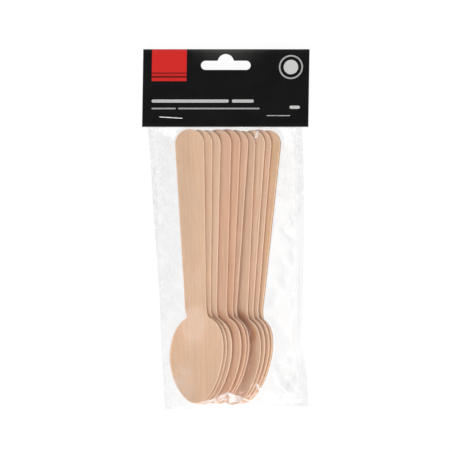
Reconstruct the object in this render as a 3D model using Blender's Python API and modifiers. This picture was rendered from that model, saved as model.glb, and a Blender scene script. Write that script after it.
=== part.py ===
"""Wooden cutlery pack: ten pressed birch spoons fanned in a clear film pouch,
closed by a folded header card with a euro hang slot and two wire staples.

The pack lies on its back. +X is to the right as the front is read, +Y runs
from the bowls towards the header card, +Z points out of the front. The origin
is the middle of the footprint, on the surface that the pack lies on.
"""

import math

import bmesh
import bpy
import numpy as np
from mathutils import Matrix, Vector

MM = 0.001

# ---------------------------------------------------------------- dimensions
# Spoon, in mm. Stations along it are measured from the handle's end.
SPOON_LENGTH = 140.0
SPOON_THICK = 1.25
HANDLE_END_R = 7.5           # the handle's end is a half circle
NECK_HALF = 5.35             # half width where the handle meets the bowl
NECK_AT = 94.0
BOWL_HALF = 13.8             # half width at the widest station
BOWL_WIDEST_AT = 115.0
BOWL_UP, BOWL_UP_POWER = 19.5, 2.3    # shoulder: superellipse
BOWL_DOWN = 25.0
TIP_POWERS = (1.7, 1.9)                # tip: a little slimmer than an ellipse
BOWL_LEAN = 1.2              # the bowl is stamped a little askew
SHOULDER_BLEND = 1.2
DISH_DEPTH = 2.6             # pressed hollow
DISH_HALF, DISH_LENGTH, DISH_AT = 14.9, 26.0, 116.4
RIM_RISE, TIP_RISE = 1.6, 0.8

# How the ten spoons fan out. Each entry: the x of the right edge of the
# handle at HANDLE_STATION_Y and at NECK_STATION_Y, the roll about its own
# axis in degrees (right edge up), and how far it has slipped along its length.
HANDLE_STATION_Y, NECK_STATION_Y = 39.47, -39.07
FAN = (
    (-10.88, -9.86, 7.0, 0.0),
    (-6.68, -7.44, 10.0, 0.3),
    (-2.50, -4.33, 14.0, 0.5),
    (3.01, 0.87, 19.0, 0.1),
    (7.60, 3.98, 21.0, 0.0),
    (11.58, 6.05, 23.0, 0.4),
    (15.30, 11.68, 24.0, 0.9),
    (20.20, 14.60, 27.0, 0.5),
    (23.36, 17.16, 29.0, 0.2),
    (27.80, 19.40, 31.0, 0.6),
)
HANDLE_END_Y = 51.30         # the furthest handle end
TOP_STATION, BOWL_STATION = 12.6, 109.3
STACK_GAP = 0.20             # clearance between neighbouring spoons
LOOSE_PAIR, LOOSE_GAP = 6, 1.2   # the bowls under the sixth spoon sit apart
PILE_LOW = 0.45              # lowest point of the spoons

# Film pouch
FILM = 0.10
FILM_CLEAR = 0.30
SEAL = 1.6                   # welded margin along the sides and the bottom
POUCH_MOUTH_Y = 76.6
POUCH_FLAT_HALF = 39.6       # under the card
# Left and right edges of the pouch as it lies, at heights y.
SIDE_Y = (52.0, 34.0, 20.0, -5.0, -36.0, -57.0, -68.0, -92.0)
SIDE_LEFT = (-40.0, -38.4, -37.8, -36.1, -33.8, -33.1, -32.7, -31.0)
SIDE_RIGHT = (39.1, 39.8, 39.8, 40.1, 39.6, 38.4, 41.0, 42.6)
BOTTOM_LEFT_Y, BOTTOM_RIGHT_Y = -92.1, -90.3
SIDE_LIFT, BOTTOM_LIFT = 2.6, 5.2    # height of the welds above the table

# Header card
CARD_WIDTH, CARD_LEAF = 85.0, 39.8
CARD_TOP_Y = 92.1
CARD_LEAN = math.radians(0.9)
CARD_THICK = 0.40
CARD_MID_Z = 4.43            # the middle of the closed header
FILM_GAP = 0.12              # between each layer held by the staples
FLARE_START = 3.8            # how far above the lower edge the leaves open
FRONT_FLARE, BACK_FLARE = 1.5, 0.7
SLOT_BAR = (25.4, 4.7)
SLOT_Y = 83.84               # middle of the slot's bar
SLOT_RISE, SLOT_RISE_R, SLOT_FILLET = 3.4, 4.15, 0.5

# Staples: (x, y) of each crown's middle, and its turn in degrees
STAPLE_WIRE = 0.5
STAPLE_CROWN = 12.3
STAPLE_LEG_IN = 4.6
STAPLES = {"staple_left": (-28.15, 57.15, -3.4), "staple_right": (26.8, 58.15, 0.0)}
STAPLE_HOLE_R = 0.45


# ------------------------------------------------------------------- helpers
def clear_scene():
    for obj in list(bpy.data.objects):
        bpy.data.objects.remove(obj, do_unlink=True)


def collection(name, hidden=False):
    made = bpy.data.collections.new(name)
    bpy.context.scene.collection.children.link(made)
    made.hide_render = hidden
    return made


def material(name, color, roughness, metallic=0.0, alpha=1.0):
    mat = bpy.data.materials.new(name)
    mat.use_nodes = True
    shader = mat.node_tree.nodes["Principled BSDF"]
    shader.inputs["Base Color"].default_value = (*color, 1.0)
    shader.inputs["Roughness"].default_value = roughness
    shader.inputs["Metallic"].default_value = metallic
    shader.inputs["Alpha"].default_value = alpha
    return mat


def mesh_object(name, points, faces, mat, into, parent=None):
    """An object from points in mm."""
    mesh = bpy.data.meshes.new(name)
    mesh.from_pydata([tuple(float(v) * MM for v in p) for p in points], [], faces)
    bm = bmesh.new()
    bm.from_mesh(mesh)
    bmesh.ops.recalc_face_normals(bm, faces=bm.faces)
    bm.to_mesh(mesh)
    bm.free()
    if mat:
        mesh.materials.append(mat)
    obj = bpy.data.objects.new(name, mesh)
    into.objects.link(obj)
    obj.parent = parent
    return obj


def cylinder(name, radius, low, high, x, y, into, parent, sides=8):
    mesh = bpy.data.meshes.new(name)
    bm = bmesh.new()
    bmesh.ops.create_cone(
        bm, cap_ends=True, segments=sides, radius1=radius * MM, radius2=radius * MM,
        depth=(high - low) * MM,
        matrix=Matrix.Translation(Vector((x, y, (low + high) / 2)) * MM))
    bm.to_mesh(mesh)
    bm.free()
    obj = bpy.data.objects.new(name, mesh)
    into.objects.link(obj)
    obj.parent = parent
    obj.hide_render = True
    obj.display_type = "WIRE"
    return obj


def cut(target, cutter):
    step = target.modifiers.new("cut " + cutter.name, "BOOLEAN")
    step.operation = "DIFFERENCE"
    step.solver = "EXACT"
    step.object = cutter


# --------------------------------------------------------------- spoon shape
def half_width(s):
    """Half of the spoon's width at station s."""
    s = np.asarray(s, float)
    r = HANDLE_END_R
    end = np.sqrt(np.clip(r * r - (r - np.minimum(s, r)) ** 2, 0, None))
    taper = r + (NECK_HALF - r) * np.clip((s - r) / (NECK_AT - r), 0, 1)
    handle = np.where(s < r, end, taper)
    above = np.abs(np.minimum(s - BOWL_WIDEST_AT, 0) / BOWL_UP)
    below = np.maximum(s - BOWL_WIDEST_AT, 0) / BOWL_DOWN
    shoulder = np.clip(1 - above ** BOWL_UP_POWER, 0, None) ** (1 / BOWL_UP_POWER)
    tip = np.clip(1 - below ** TIP_POWERS[0], 0, None) ** (1 / TIP_POWERS[1])
    bowl = BOWL_HALF * np.where(s < BOWL_WIDEST_AT, shoulder, tip)
    joined = 0.5 * (handle + bowl + np.sqrt((handle - bowl) ** 2 + SHOULDER_BLEND ** 2))
    return np.where(s < 88.0, handle, np.where(s < 104.0, joined, bowl))


def lean(s):
    """How far the bowl's middle lies to the right of the handle's line."""
    x = np.clip((np.asarray(s, float) - 90.0) / 10.0, 0, 1)
    return BOWL_LEAN * x * x * (3 - 2 * x) * np.tanh((112.0 - s) / 12.0)


def dish(u, s):
    """Height of the spoon's upper face over the handle's plane."""
    inside = 1 - ((u - lean(s)) / DISH_HALF) ** 2 - ((s - DISH_AT) / DISH_LENGTH) ** 2
    hollow = 0.5 * (inside + np.sqrt(inside * inside + 0.02))
    x = np.clip((s - 82.0) / 26.0, 0, 1)
    rim = RIM_RISE * x * x * (3 - 2 * x)
    tip = TIP_RISE * np.clip((s - 116.0) / 24.0, 0, 1) ** 2
    return rim + tip - DISH_DEPTH * hollow


def axes_of(pose):
    """The pose's rotation as a 3x3 array: fan about Z, pitch, then roll."""
    turn = (Matrix.Rotation(pose["fan"], 3, "Z")
            @ Matrix.Rotation(pose["pitch"], 3, "X")
            @ Matrix.Rotation(-pose["roll"], 3, "Y"))
    return np.array(turn)


def placed(pose, u, s, w):
    """World points of the spoon's own (across, along, up) coordinates."""
    local = np.stack([u, TOP_STATION - s, w], -1)
    return local @ axes_of(pose).T + np.array([pose["x"], pose["y"], pose["z"]])


def face_height(pose, gx, gy, below=0.0):
    """Height of the upper face, or of one below it, over world (x, y)."""
    axes = axes_of(pose)
    at = np.array([pose["x"], pose["y"], pose["z"]])
    z = np.full(gx.shape, at[2])
    for _ in range(8):
        own = np.stack([gx - at[0], gy - at[1], z - at[2]], -1) @ axes
        u, s = own[..., 0], TOP_STATION - own[..., 1]
        z = z + (dish(u, np.clip(s, 0, SPOON_LENGTH)) - below - own[..., 2]) / axes[2, 2]
    on = (s > 0) & (s < SPOON_LENGTH)
    held = np.clip(s, 0, SPOON_LENGTH)
    on &= np.abs(u - lean(held)) < half_width(held)
    return np.where(on, z, np.nan), s


def lowest(values, where):
    return float(np.nanmin(np.where(where, values, np.nan)))


def settle():
    """Poses of the ten spoons, each laid on the next one down, touching it
    at the handle and at the bowl but for the clearance."""
    gx, gy = np.meshgrid(np.arange(-34, 38, 0.7), np.arange(-92, 54, 0.9))
    span = BOWL_STATION - TOP_STATION
    poses = []
    for k, (edge_top, edge_neck, roll, slip) in enumerate(FAN):
        roll = math.radians(roll)
        side = SPOON_THICK * math.sin(roll)
        at_top = edge_top - 7.39 * math.cos(roll) - side
        at_neck = edge_neck - 5.42 * math.cos(roll) - side
        fan = math.atan((at_neck - at_top) / (HANDLE_STATION_Y - NECK_STATION_Y))
        y = HANDLE_END_Y - TOP_STATION - slip
        x = at_top + (HANDLE_STATION_Y - y) * math.tan(fan)
        pose = dict(x=x, y=y, z=0.0, fan=fan, pitch=0.0, roll=roll, top=0.0, bowl=0.0)
        if poses:
            over = poses[-1]
            pose["top"], pose["bowl"] = over["top"] - 1.0, over["bowl"] - 1.5
            under, _ = face_height(over, gx, gy, SPOON_THICK)
            wanted = STACK_GAP + (LOOSE_GAP if k == LOOSE_PAIR else 0.0)
            for _ in range(12):
                pose["z"] = pose["top"]
                pose["pitch"] = math.atan2(pose["top"] - pose["bowl"], span)
                face, s = face_height(pose, gx, gy)
                pose["top"] += lowest(under - face, s < 60) - STACK_GAP
                pose["bowl"] += lowest(under - face, s > 60) - wanted
        poses.append(pose)
    for _ in range(6):
        low_top = low_bowl = 1e9
        for pose in poses:
            pose["z"] = pose["top"]
            pose["pitch"] = math.atan2(pose["top"] - pose["bowl"], span)
            under, s = face_height(pose, gx, gy, SPOON_THICK)
            low_top = min(low_top, lowest(under, s < 25))
            low_bowl = min(low_bowl, lowest(under, s > 85))
        for pose in poses:
            pose["top"] += PILE_LOW - low_top
            pose["bowl"] += PILE_LOW - low_bowl
    return poses


def spoon(name, pose, mat, into, parent):
    """A sheet over the outline, dished, and thickened downwards."""
    r = HANDLE_END_R
    ends = [r * (1 - math.cos(math.radians(a))) for a in (24, 48, 70, 90)]
    handle = list(np.linspace(r, 82.0, 4)[1:])
    bowl = [88, 92, 94.5, 97, 99.5, 102.5, 106.5, 111, 116, 121, 126, 130.5, 134.2, 137.2, 139.2]
    rows = ends + handle + bowl
    across = 6
    points, faces = [], []
    for s in rows:
        w = float(half_width(s))
        u = w * np.sin(np.linspace(-math.pi / 2, math.pi / 2, across + 1) * 0.999) \
            if s > 100 else w * np.linspace(-1, 1, across + 1)
        points += [(a + float(lean(s)), s) for a in u]
    for j in range(len(rows) - 1):
        for i in range(across):
            a = j * (across + 1) + i
            faces.append((a, a + 1, a + across + 2, a + across + 1))
    first, last = len(points), len(points) + 1
    points += [(0.0, 0.0), (float(lean(SPOON_LENGTH)), SPOON_LENGTH)]
    base = (len(rows) - 1) * (across + 1)
    for i in range(across):
        faces.append((first, i + 1, i))
        faces.append((last, base + i, base + i + 1))
    u, s = np.array(points).T
    mesh_points = np.stack([u, TOP_STATION - s, dish(u, s)], -1)
    obj = mesh_object(name, mesh_points, faces, mat, into, parent)
    if sum(f.normal.z for f in obj.data.polygons) < 0:
        obj.data.flip_normals()
    shell = obj.modifiers.new("thickness", "SOLIDIFY")
    shell.thickness = SPOON_THICK * MM
    shell.offset = -1.0
    obj.matrix_local = Matrix.Translation(Vector((pose["x"], pose["y"], pose["z"])) * MM) \
        @ Matrix(axes_of(pose).tolist()).to_4x4()
    obj.data.shade_smooth()
    obj.data.set_sharp_from_angle(angle=math.radians(35))
    return obj


# --------------------------------------------------------------- film pouch
def spread(grid, reach):
    """The largest value within reach cells of each cell, along both ways."""
    for axis in (0, 1):
        out = grid.copy()
        for shift in range(1, reach[axis] + 1):
            for sign in (1, -1):
                moved = np.roll(grid, sign * shift, axis)
                edge = [slice(None)] * 2
                edge[axis] = slice(0, shift) if sign > 0 else slice(-shift, None)
                moved[tuple(edge)] = -1e9
                out = np.maximum(out, moved)
        grid = out
    return grid


def pouch_xy(across, along):
    """World x and y of the pouch's own coordinates, 0 to 1 across from the
    left weld and 0 to 1 along from the card's edge to the bottom weld."""
    side_y = np.array(SIDE_Y)[::-1]
    bottom = BOTTOM_LEFT_Y + (BOTTOM_RIGHT_Y - BOTTOM_LEFT_Y) * across
    y = SIDE_Y[0] + (bottom - SIDE_Y[0]) * along
    left = np.interp(y, side_y, np.array(SIDE_LEFT)[::-1])
    right = np.interp(y, side_y, np.array(SIDE_RIGHT)[::-1])
    return left + (right - left) * across, y


def drape(poses):
    """The heights of the front and back sheets over a fine grid, as films
    pulled tight over the pile: each point is the mean of its neighbours
    unless the spoons or the table hold it."""
    na, nl = 98, 340
    across, along = np.meshgrid(np.linspace(0, 1, na + 1), np.linspace(0, 1, nl + 1))
    x, y = pouch_xy(across, along)
    top = np.full(x.shape, -1e9)
    under = np.full(x.shape, 1e9)
    for pose in poses:
        face, _ = face_height(pose, x, y)
        top = np.fmax(top, face)
        face, _ = face_height(pose, x, y, SPOON_THICK)
        under = np.fmin(under, face)
    top = spread(top, (1, 1)) + FILM_CLEAR + FILM
    under = -spread(-under, (1, 1)) - FILM_CLEAR - FILM
    edge = np.minimum(np.minimum(across, 1 - across) / 0.06, 1.0)
    lift = SIDE_LIFT + (BOTTOM_LIFT - SIDE_LIFT) * np.clip((along - 0.86) / 0.14, 0, 1)
    start_front = CARD_MID_Z + 0.92 * FRONT_FLARE
    start_back = CARD_MID_Z - 0.92 * BACK_FLARE
    row = CARD_MID_Z + (start_front - CARD_MID_Z) * np.clip(edge[0] * 2, 0, 1)
    row_b = CARD_MID_Z + (start_back - CARD_MID_Z) * np.clip(edge[0] * 2, 0, 1)
    side = CARD_MID_Z + (lift - CARD_MID_Z) * np.clip(along / 0.10, 0, 1)
    front = np.maximum(np.where(top > 0, top, side), side)
    back = np.zeros_like(front)
    hy = np.hypot(x[1:-1, 2:] - x[1:-1, :-2], 0) / 2
    hx = np.abs(y[2:, 1:-1] - y[:-2, 1:-1]) / 2
    wx, wy = 1 / hy ** 2, 1 / hx ** 2
    total = 2 * (wx + wy)
    load = 0.010
    for step in range(1400):
        for film, sign in ((front, 1), (back, -1)):
            film[:, 0] = film[:, -1] = side[:, 0]
            film[0] = row if sign > 0 else row_b
            film[-1] = BOTTOM_LIFT
            mean = (wx * (film[1:-1, 2:] + film[1:-1, :-2])
                    + wy * (film[2:, 1:-1] + film[:-2, 1:-1])) / total
            if sign > 0:
                film[1:-1, 1:-1] = np.maximum(mean, top[1:-1, 1:-1])
            else:
                held = np.minimum(mean - load / total * 4, under[1:-1, 1:-1])
                film[1:-1, 1:-1] = np.maximum(held, 0.0)
    return across, along, front, back


def pouch(poses, mat, into, parent):
    """Front and back sheets with real thickness, welded along the sides and
    the bottom, and open at the mouth inside the header."""
    fine_across, fine_along, front, back = drape(poses)
    na, nl = fine_across.shape[1] - 1, fine_across.shape[0] - 1
    columns = sorted({0, 2, na - 2, na} | {int(round(c)) for c in np.linspace(5, na - 5, 17)})
    rows = [0, 2, 4, 7, 12, 22, 40, 66, 94, 122, 150, 178, 204, 226, 242, 254,
            266, 278, 290, 301, 310, 318, 325, 331, 335, 338, 340]

    def picked(grid, sign):
        """At each coarse point, the furthest that the sheet reaches over
        the cells around it, so that a flat facet clears the spoons."""
        out = np.empty((len(rows), len(columns)))
        for a, j in enumerate(rows):
            for b, i in enumerate(columns):
                if a in (0, len(rows) - 1) or b in (0, len(columns) - 1):
                    out[a, b] = grid[j, i]
                    continue
                area = grid[max(rows[a - 1], 1):rows[a + 1] + 1,
                            max(columns[b - 1], 1):columns[b + 1] + 1]
                out[a, b] = area.max() if sign > 0 else area.min()
        return out

    front, back = picked(front, 1), picked(back, -1)
    back[back < 0.05] = 0.0
    seal_x = SEAL
    outer, inner = {}, {}
    gap = FILM_GAP / 2 + FILM
    edge_y = CARD_TOP_Y - CARD_LEAF
    mouth = [POUCH_MOUTH_Y, 66.0, 60.0] + [edge_y + FLARE_START * t for t in (1, 2 / 3, 1 / 3)]
    points = []

    def add(x, y, z):
        points.append((x, y, z))
        return len(points) - 1

    count_c = len(columns)
    u = np.array(columns) / na
    for sheet, sign, heights in (("front", 1, front), ("back", -1, back)):
        for a in range(len(mouth) + len(rows)):
            for b in range(count_c):
                if a < len(mouth):      # held between the card's leaves
                    y = mouth[a]
                    x = -POUCH_FLAT_HALF + 2 * POUCH_FLAT_HALF * u[b]
                    opened = (1 - min((y - edge_y) / FLARE_START, 1)) ** 2
                    opened *= 0.92 * (FRONT_FLARE if sign > 0 else BACK_FLARE)
                    if b in (0, count_c - 1):
                        opened = 0.0
                    elif b in (1, count_c - 2):
                        opened *= 0.68
                    z_out = CARD_MID_Z + sign * (gap + opened)
                else:
                    x, y = (float(v) for v in pouch_xy(u[b], rows[a - len(mouth)] / nl))
                    z = heights[a - len(mouth), b]
                    welded = b in (0, count_c - 1) or a == len(mouth) + len(rows) - 1
                    z_out = z + sign * gap if welded else z
                    if a == len(mouth) and not welded:
                        z_out = z + sign * gap
                    z_out = max(z_out, 0.0)
                outer[sheet, a, b] = add(x, y, z_out)
    # The inner faces stand one film inside the outer ones, and stop at the weld.
    last_row = len(mouth) + len(rows) - 1
    for sheet, sign in (("front", 1), ("back", -1)):
        for a in range(last_row):
            for b in range(1, count_c - 1):
                x, y, z = points[outer[sheet, a, b]]
                thick = FILM
                inner[sheet, a, b] = add(x, y, z - sign * thick)
    faces = []
    for sheet in ("front", "back"):
        for a in range(last_row):
            for b in range(count_c - 1):
                faces.append((outer[sheet, a, b], outer[sheet, a, b + 1],
                              outer[sheet, a + 1, b + 1], outer[sheet, a + 1, b]))
        for a in range(last_row - 1):
            for b in range(1, count_c - 2):
                faces.append((inner[sheet, a, b], inner[sheet, a + 1, b],
                              inner[sheet, a + 1, b + 1], inner[sheet, a, b + 1]))
    end = count_c - 1
    for a in range(last_row):
        for b in (0, end):
            faces.append((outer["front", a, b], outer["front", a + 1, b],
                          outer["back", a + 1, b], outer["back", a, b]))
    for b in range(end):
        faces.append((outer["front", last_row, b], outer["front", last_row, b + 1],
                      outer["back", last_row, b + 1], outer["back", last_row, b]))
    # Inside: the sheets meet at the welds.
    for a in range(last_row - 1):
        for b in (1, end - 1):
            faces.append((inner["front", a, b], inner["front", a + 1, b],
                          inner["back", a + 1, b], inner["back", a, b]))
    for b in range(1, end - 1):
        a = last_row - 1
        faces.append((inner["front", a, b], inner["front", a, b + 1],
                      inner["back", a, b + 1], inner["back", a, b]))
    # The mouth's rim, with the welded corner at each side.
    for sheet in ("front", "back"):
        for b in range(1, end - 1):
            faces.append((outer[sheet, 0, b], outer[sheet, 0, b + 1],
                          inner[sheet, 0, b + 1], inner[sheet, 0, b]))
    for b, n in ((0, 1), (end, end - 1)):
        faces.append((outer["front", 0, b], outer["front", 0, n], inner["front", 0, n],
                      inner["back", 0, n], outer["back", 0, n], outer["back", 0, b]))
    obj = mesh_object("film_bag", points, faces, mat, into, parent)
    bm = bmesh.new()
    bm.from_mesh(obj.data)
    bmesh.ops.triangulate(bm, faces=bm.faces)
    bmesh.ops.recalc_face_normals(bm, faces=bm.faces)
    bm.to_mesh(obj.data)
    bm.free()
    obj.data.shade_smooth()
    obj.data.set_sharp_from_angle(angle=math.radians(40))
    return obj


# -------------------------------------------------------------- header card
def card_profile():
    """The middle line of the folded sheet, as (y, z): back leaf's lower edge,
    up to the fold, round it, and down the front leaf."""
    half = FILM + FILM_GAP * 1.5 + CARD_THICK / 2
    low = CARD_TOP_Y - CARD_LEAF
    flare = FLARE_START
    line = []
    for i in range(4):
        t = i / 3
        line.append((low + flare * t, CARD_MID_Z - half - BACK_FLARE * (1 - t) ** 2))
    fold_y = CARD_TOP_Y - half - CARD_THICK / 2
    for i in range(9):
        a = -math.pi / 2 + math.pi * i / 8
        line.append((fold_y + half * math.cos(a), CARD_MID_Z + half * math.sin(a)))
    for i in range(4):
        t = 1 - i / 3
        line.append((low + flare * t, CARD_MID_Z + half + FRONT_FLARE * (1 - t) ** 2))
    return line


def slot_outline():
    """The euro slot: a bar with round ends and a round rise in the middle."""
    width, height = SLOT_BAR
    r = height / 2
    points = []
    for i in range(9):
        a = -math.pi / 2 + math.pi * i / 8
        points.append((width / 2 - r + r * math.cos(a), r * math.sin(a)))
    # The rise is an arc, its foot filleted into the bar's upper side.
    below = SLOT_RISE_R - SLOT_RISE
    fillet = SLOT_FILLET
    foot = math.sqrt((SLOT_RISE_R + fillet) ** 2 - (below + fillet) ** 2)
    meet = math.degrees(math.atan2(below + fillet, foot))
    right = []
    for i in range(4):
        a = math.radians(270 - (90 - meet) * i / 3)
        right.append((foot + fillet * math.cos(a), r + fillet + fillet * math.sin(a)))
    for i in range(1, 11):
        a = math.radians(meet + (90 - meet) * i / 10)
        right.append((SLOT_RISE_R * math.cos(a), r - below + SLOT_RISE_R * math.sin(a)))
    points += right
    points += [(-x, y) for x, y in reversed(right[:-1])]
    for i in range(9):
        a = math.pi / 2 + math.pi * i / 8
        points.append((-width / 2 + r + r * math.cos(a), r * math.sin(a)))
    return points


def slot_cutter(into, parent):
    """A flat outline given depth, as a mesh that can cut."""
    curve = bpy.data.curves.new("slot_outline", "CURVE")
    curve.dimensions = "2D"
    curve.fill_mode = "BOTH"
    curve.extrude = 4.0 * MM
    spline = curve.splines.new("POLY")
    outline = slot_outline()
    spline.points.add(len(outline) - 1)
    for point, (x, y) in zip(spline.points, outline):
        point.co = (x * MM, y * MM, 0.0, 1.0)
    spline.use_cyclic_u = True
    flat = bpy.data.objects.new("slot_outline", curve)
    into.objects.link(flat)
    flat.location = Vector((0.0, SLOT_Y, CARD_MID_Z)) * MM
    bpy.context.view_layer.update()
    graph = bpy.context.evaluated_depsgraph_get()
    mesh = bpy.data.meshes.new_from_object(flat.evaluated_get(graph))
    bm = bmesh.new()
    bm.from_mesh(mesh)
    bmesh.ops.remove_doubles(bm, verts=bm.verts, dist=1e-6)
    bmesh.ops.recalc_face_normals(bm, faces=bm.faces)
    bm.to_mesh(mesh)
    bm.free()
    cutter = bpy.data.objects.new("hang_slot_cutter", mesh)
    into.objects.link(cutter)
    cutter.matrix_world = flat.matrix_world
    bpy.data.objects.remove(flat, do_unlink=True)
    cutter.parent = parent
    cutter.hide_render = True
    cutter.display_type = "WIRE"
    return cutter


def header_card(mat, into, parent):
    profile = card_profile()
    middle = CARD_TOP_Y - CARD_LEAF / 2
    stations = np.linspace(-CARD_WIDTH / 2, CARD_WIDTH / 2, 5)
    points, faces = [], []
    for x in stations:
        for y, z in profile:
            points.append((x + (y - middle) * math.tan(CARD_LEAN), y, z))
    n = len(profile)
    for i in range(len(stations) - 1):
        for j in range(n - 1):
            a = i * n + j
            faces.append((a, a + 1, a + n + 1, a + n))
    card = mesh_object("header_card", points, faces, mat, into, parent)
    shell = card.modifiers.new("thickness", "SOLIDIFY")
    shell.thickness = CARD_THICK * MM
    shell.offset = 0.0
    shell.use_even_offset = True
    card.data.shade_smooth()
    card.data.set_sharp_from_angle(angle=math.radians(40))
    return card


# ------------------------------------------------------------------ staples
def staple_legs(name):
    x, y, turn = STAPLES[name]
    turn = math.radians(turn)
    reach = STAPLE_CROWN / 2 - STAPLE_WIRE / 2
    return [(x + side * reach * math.cos(turn), y + side * reach * math.sin(turn))
            for side in (-1, 1)]


def staple(name, mat, into, parent):
    """A wire run through the header, its legs folded in behind it."""
    x, y, turn = STAPLES[name]
    half = FILM + FILM_GAP * 1.5 + CARD_THICK
    crown_z = CARD_MID_Z + half + 0.08 + STAPLE_WIRE / 2
    back_z = CARD_MID_Z - half - 0.08 - STAPLE_WIRE / 2
    reach = STAPLE_CROWN / 2 - STAPLE_WIRE / 2
    bend = 0.42
    steps = 4
    right = []
    for i in range(steps + 1):
        a = math.radians(90 - 90 * i / steps)
        right.append((reach - bend + bend * math.cos(a), crown_z - bend + bend * math.sin(a)))
    for i in range(steps + 1):
        a = math.radians(-90 * i / steps)
        right.append((reach - bend + bend * math.cos(a), back_z + bend + bend * math.sin(a)))
    right.append((reach - STAPLE_LEG_IN, back_z - 0.04))
    path = [(-px, pz) for px, pz in reversed(right)] + right
    curve = bpy.data.curves.new(name, "CURVE")
    curve.dimensions = "3D"
    curve.bevel_depth = STAPLE_WIRE / 2 * MM
    curve.bevel_resolution = 1
    curve.use_fill_caps = True
    spline = curve.splines.new("POLY")
    spline.points.add(len(path) - 1)
    for point, (px, pz) in zip(spline.points, path):
        point.co = (px * MM, 0.0, pz * MM, 1.0)
    curve.materials.append(mat)
    wire = bpy.data.objects.new(name, curve)
    into.objects.link(wire)
    wire.parent = parent
    wire.location = (x * MM, y * MM, 0.0)
    wire.rotation_euler = (0.0, 0.0, math.radians(turn))
    return wire


# --------------------------------------------------------------------- build
def main():
    clear_scene()
    parts = collection("wooden_cutlery_pack")
    cutters = collection("cutters", hidden=True)
    frame = bpy.data.objects.new("pack_frame", None)
    parts.objects.link(frame)

    birch = material("birch", (0.72, 0.49, 0.34), 0.62)
    black_card = material("black_card", (0.010, 0.010, 0.010), 0.42)
    clear_film = material("clear_film", (0.92, 0.93, 0.94), 0.12, alpha=0.18)
    steel = material("staple_steel", (0.62, 0.62, 0.62), 0.30, metallic=1.0)

    poses = settle()
    for index, pose in enumerate(poses):
        spoon(f"spoon_{index + 1:02d}", pose, birch, parts, frame)

    film = pouch(poses, clear_film, parts, frame)
    card = header_card(black_card, parts, frame)
    cut(card, slot_cutter(cutters, frame))
    for name in STAPLES:
        staple(name, steel, parts, frame)
        for side, (x, y) in zip("ab", staple_legs(name)):
            hole = cylinder(f"{name}_hole_{side}", STAPLE_HOLE_R, CARD_MID_Z - 3.0,
                            CARD_MID_Z + 3.0, x, y, cutters, frame)
            cut(card, hole)
            cut(film, hole)


main()
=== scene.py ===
"""Looks of the wooden cutlery pack: fine veneer spoons, a draped clear pouch,
a folded black header card and two wire staples, on a plain white floor.

Lengths below are in mm unless they say otherwise. Spoons are modelled in
their own frame, +Y towards the handle's end, and set at the same poses as
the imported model's spoons.
"""

import math

import bmesh
import bpy
import numpy as np
from mathutils import Matrix, Vector

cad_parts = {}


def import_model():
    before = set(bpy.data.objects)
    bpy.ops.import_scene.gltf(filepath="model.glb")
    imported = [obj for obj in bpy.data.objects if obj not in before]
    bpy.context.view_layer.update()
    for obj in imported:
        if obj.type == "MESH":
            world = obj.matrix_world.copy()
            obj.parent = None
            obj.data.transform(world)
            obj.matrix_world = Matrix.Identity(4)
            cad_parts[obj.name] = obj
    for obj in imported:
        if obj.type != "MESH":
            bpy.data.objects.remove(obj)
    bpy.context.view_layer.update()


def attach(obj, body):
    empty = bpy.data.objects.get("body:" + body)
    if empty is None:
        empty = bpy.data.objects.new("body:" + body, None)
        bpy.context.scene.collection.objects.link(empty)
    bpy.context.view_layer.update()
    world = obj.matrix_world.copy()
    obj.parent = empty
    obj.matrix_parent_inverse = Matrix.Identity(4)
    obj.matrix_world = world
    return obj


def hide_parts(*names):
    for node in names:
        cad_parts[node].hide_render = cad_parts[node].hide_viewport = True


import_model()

MM = 0.001

# ---------------------------------------------------------------- dimensions
SPOON_LENGTH = 140.0
SPOON_THICK = 1.25
HANDLE_END_R = 7.5
NECK_HALF = 5.35
NECK_AT = 94.0
BOWL_HALF = 13.8
BOWL_WIDEST_AT = 115.0
BOWL_UP, BOWL_UP_POWER = 19.5, 2.3
BOWL_DOWN = 25.0
TIP_POWERS = (1.7, 1.9)
BOWL_LEAN = 1.2
SHOULDER_BLEND = 1.2
DISH_DEPTH = 2.6
DISH_HALF, DISH_LENGTH, DISH_AT = 14.9, 26.0, 116.4
RIM_RISE, TIP_RISE = 1.6, 0.8

HANDLE_STATION_Y, NECK_STATION_Y = 39.47, -39.07
FAN = (
    (-10.88, -9.86, 7.0, 0.0),
    (-6.68, -7.44, 10.0, 0.3),
    (-2.50, -4.33, 14.0, 0.5),
    (3.01, 0.87, 19.0, 0.1),
    (7.60, 3.98, 21.0, 0.0),
    (11.58, 6.05, 23.0, 0.4),
    (15.30, 11.68, 24.0, 0.9),
    (20.20, 14.60, 27.0, 0.5),
    (23.36, 17.16, 29.0, 0.2),
    (27.80, 19.40, 31.0, 0.6),
)
HANDLE_END_Y = 51.30
TOP_STATION, BOWL_STATION = 12.6, 109.3
STACK_GAP = 0.20
LOOSE_PAIR, LOOSE_GAP = 6, 1.2
PILE_LOW = 0.45

TOP_LIMIT = 20.75            # no film above this

FILM = 0.10
FILM_CLEAR = 0.30
POUCH_MOUTH_Y = 76.6
POUCH_FLAT_HALF = 39.6
SIDE_Y = (52.0, 34.0, 20.0, -5.0, -36.0, -57.0, -68.0, -92.0)
SIDE_LEFT = (-40.0, -38.4, -37.8, -36.1, -33.8, -33.1, -32.7, -31.0)
SIDE_RIGHT = (39.1, 39.8, 39.8, 40.1, 39.6, 38.4, 41.0, 42.6)
BOTTOM_LEFT_Y, BOTTOM_RIGHT_Y = -92.1, -90.3
SIDE_LIFT, BOTTOM_LIFT = 2.6, 5.2

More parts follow.
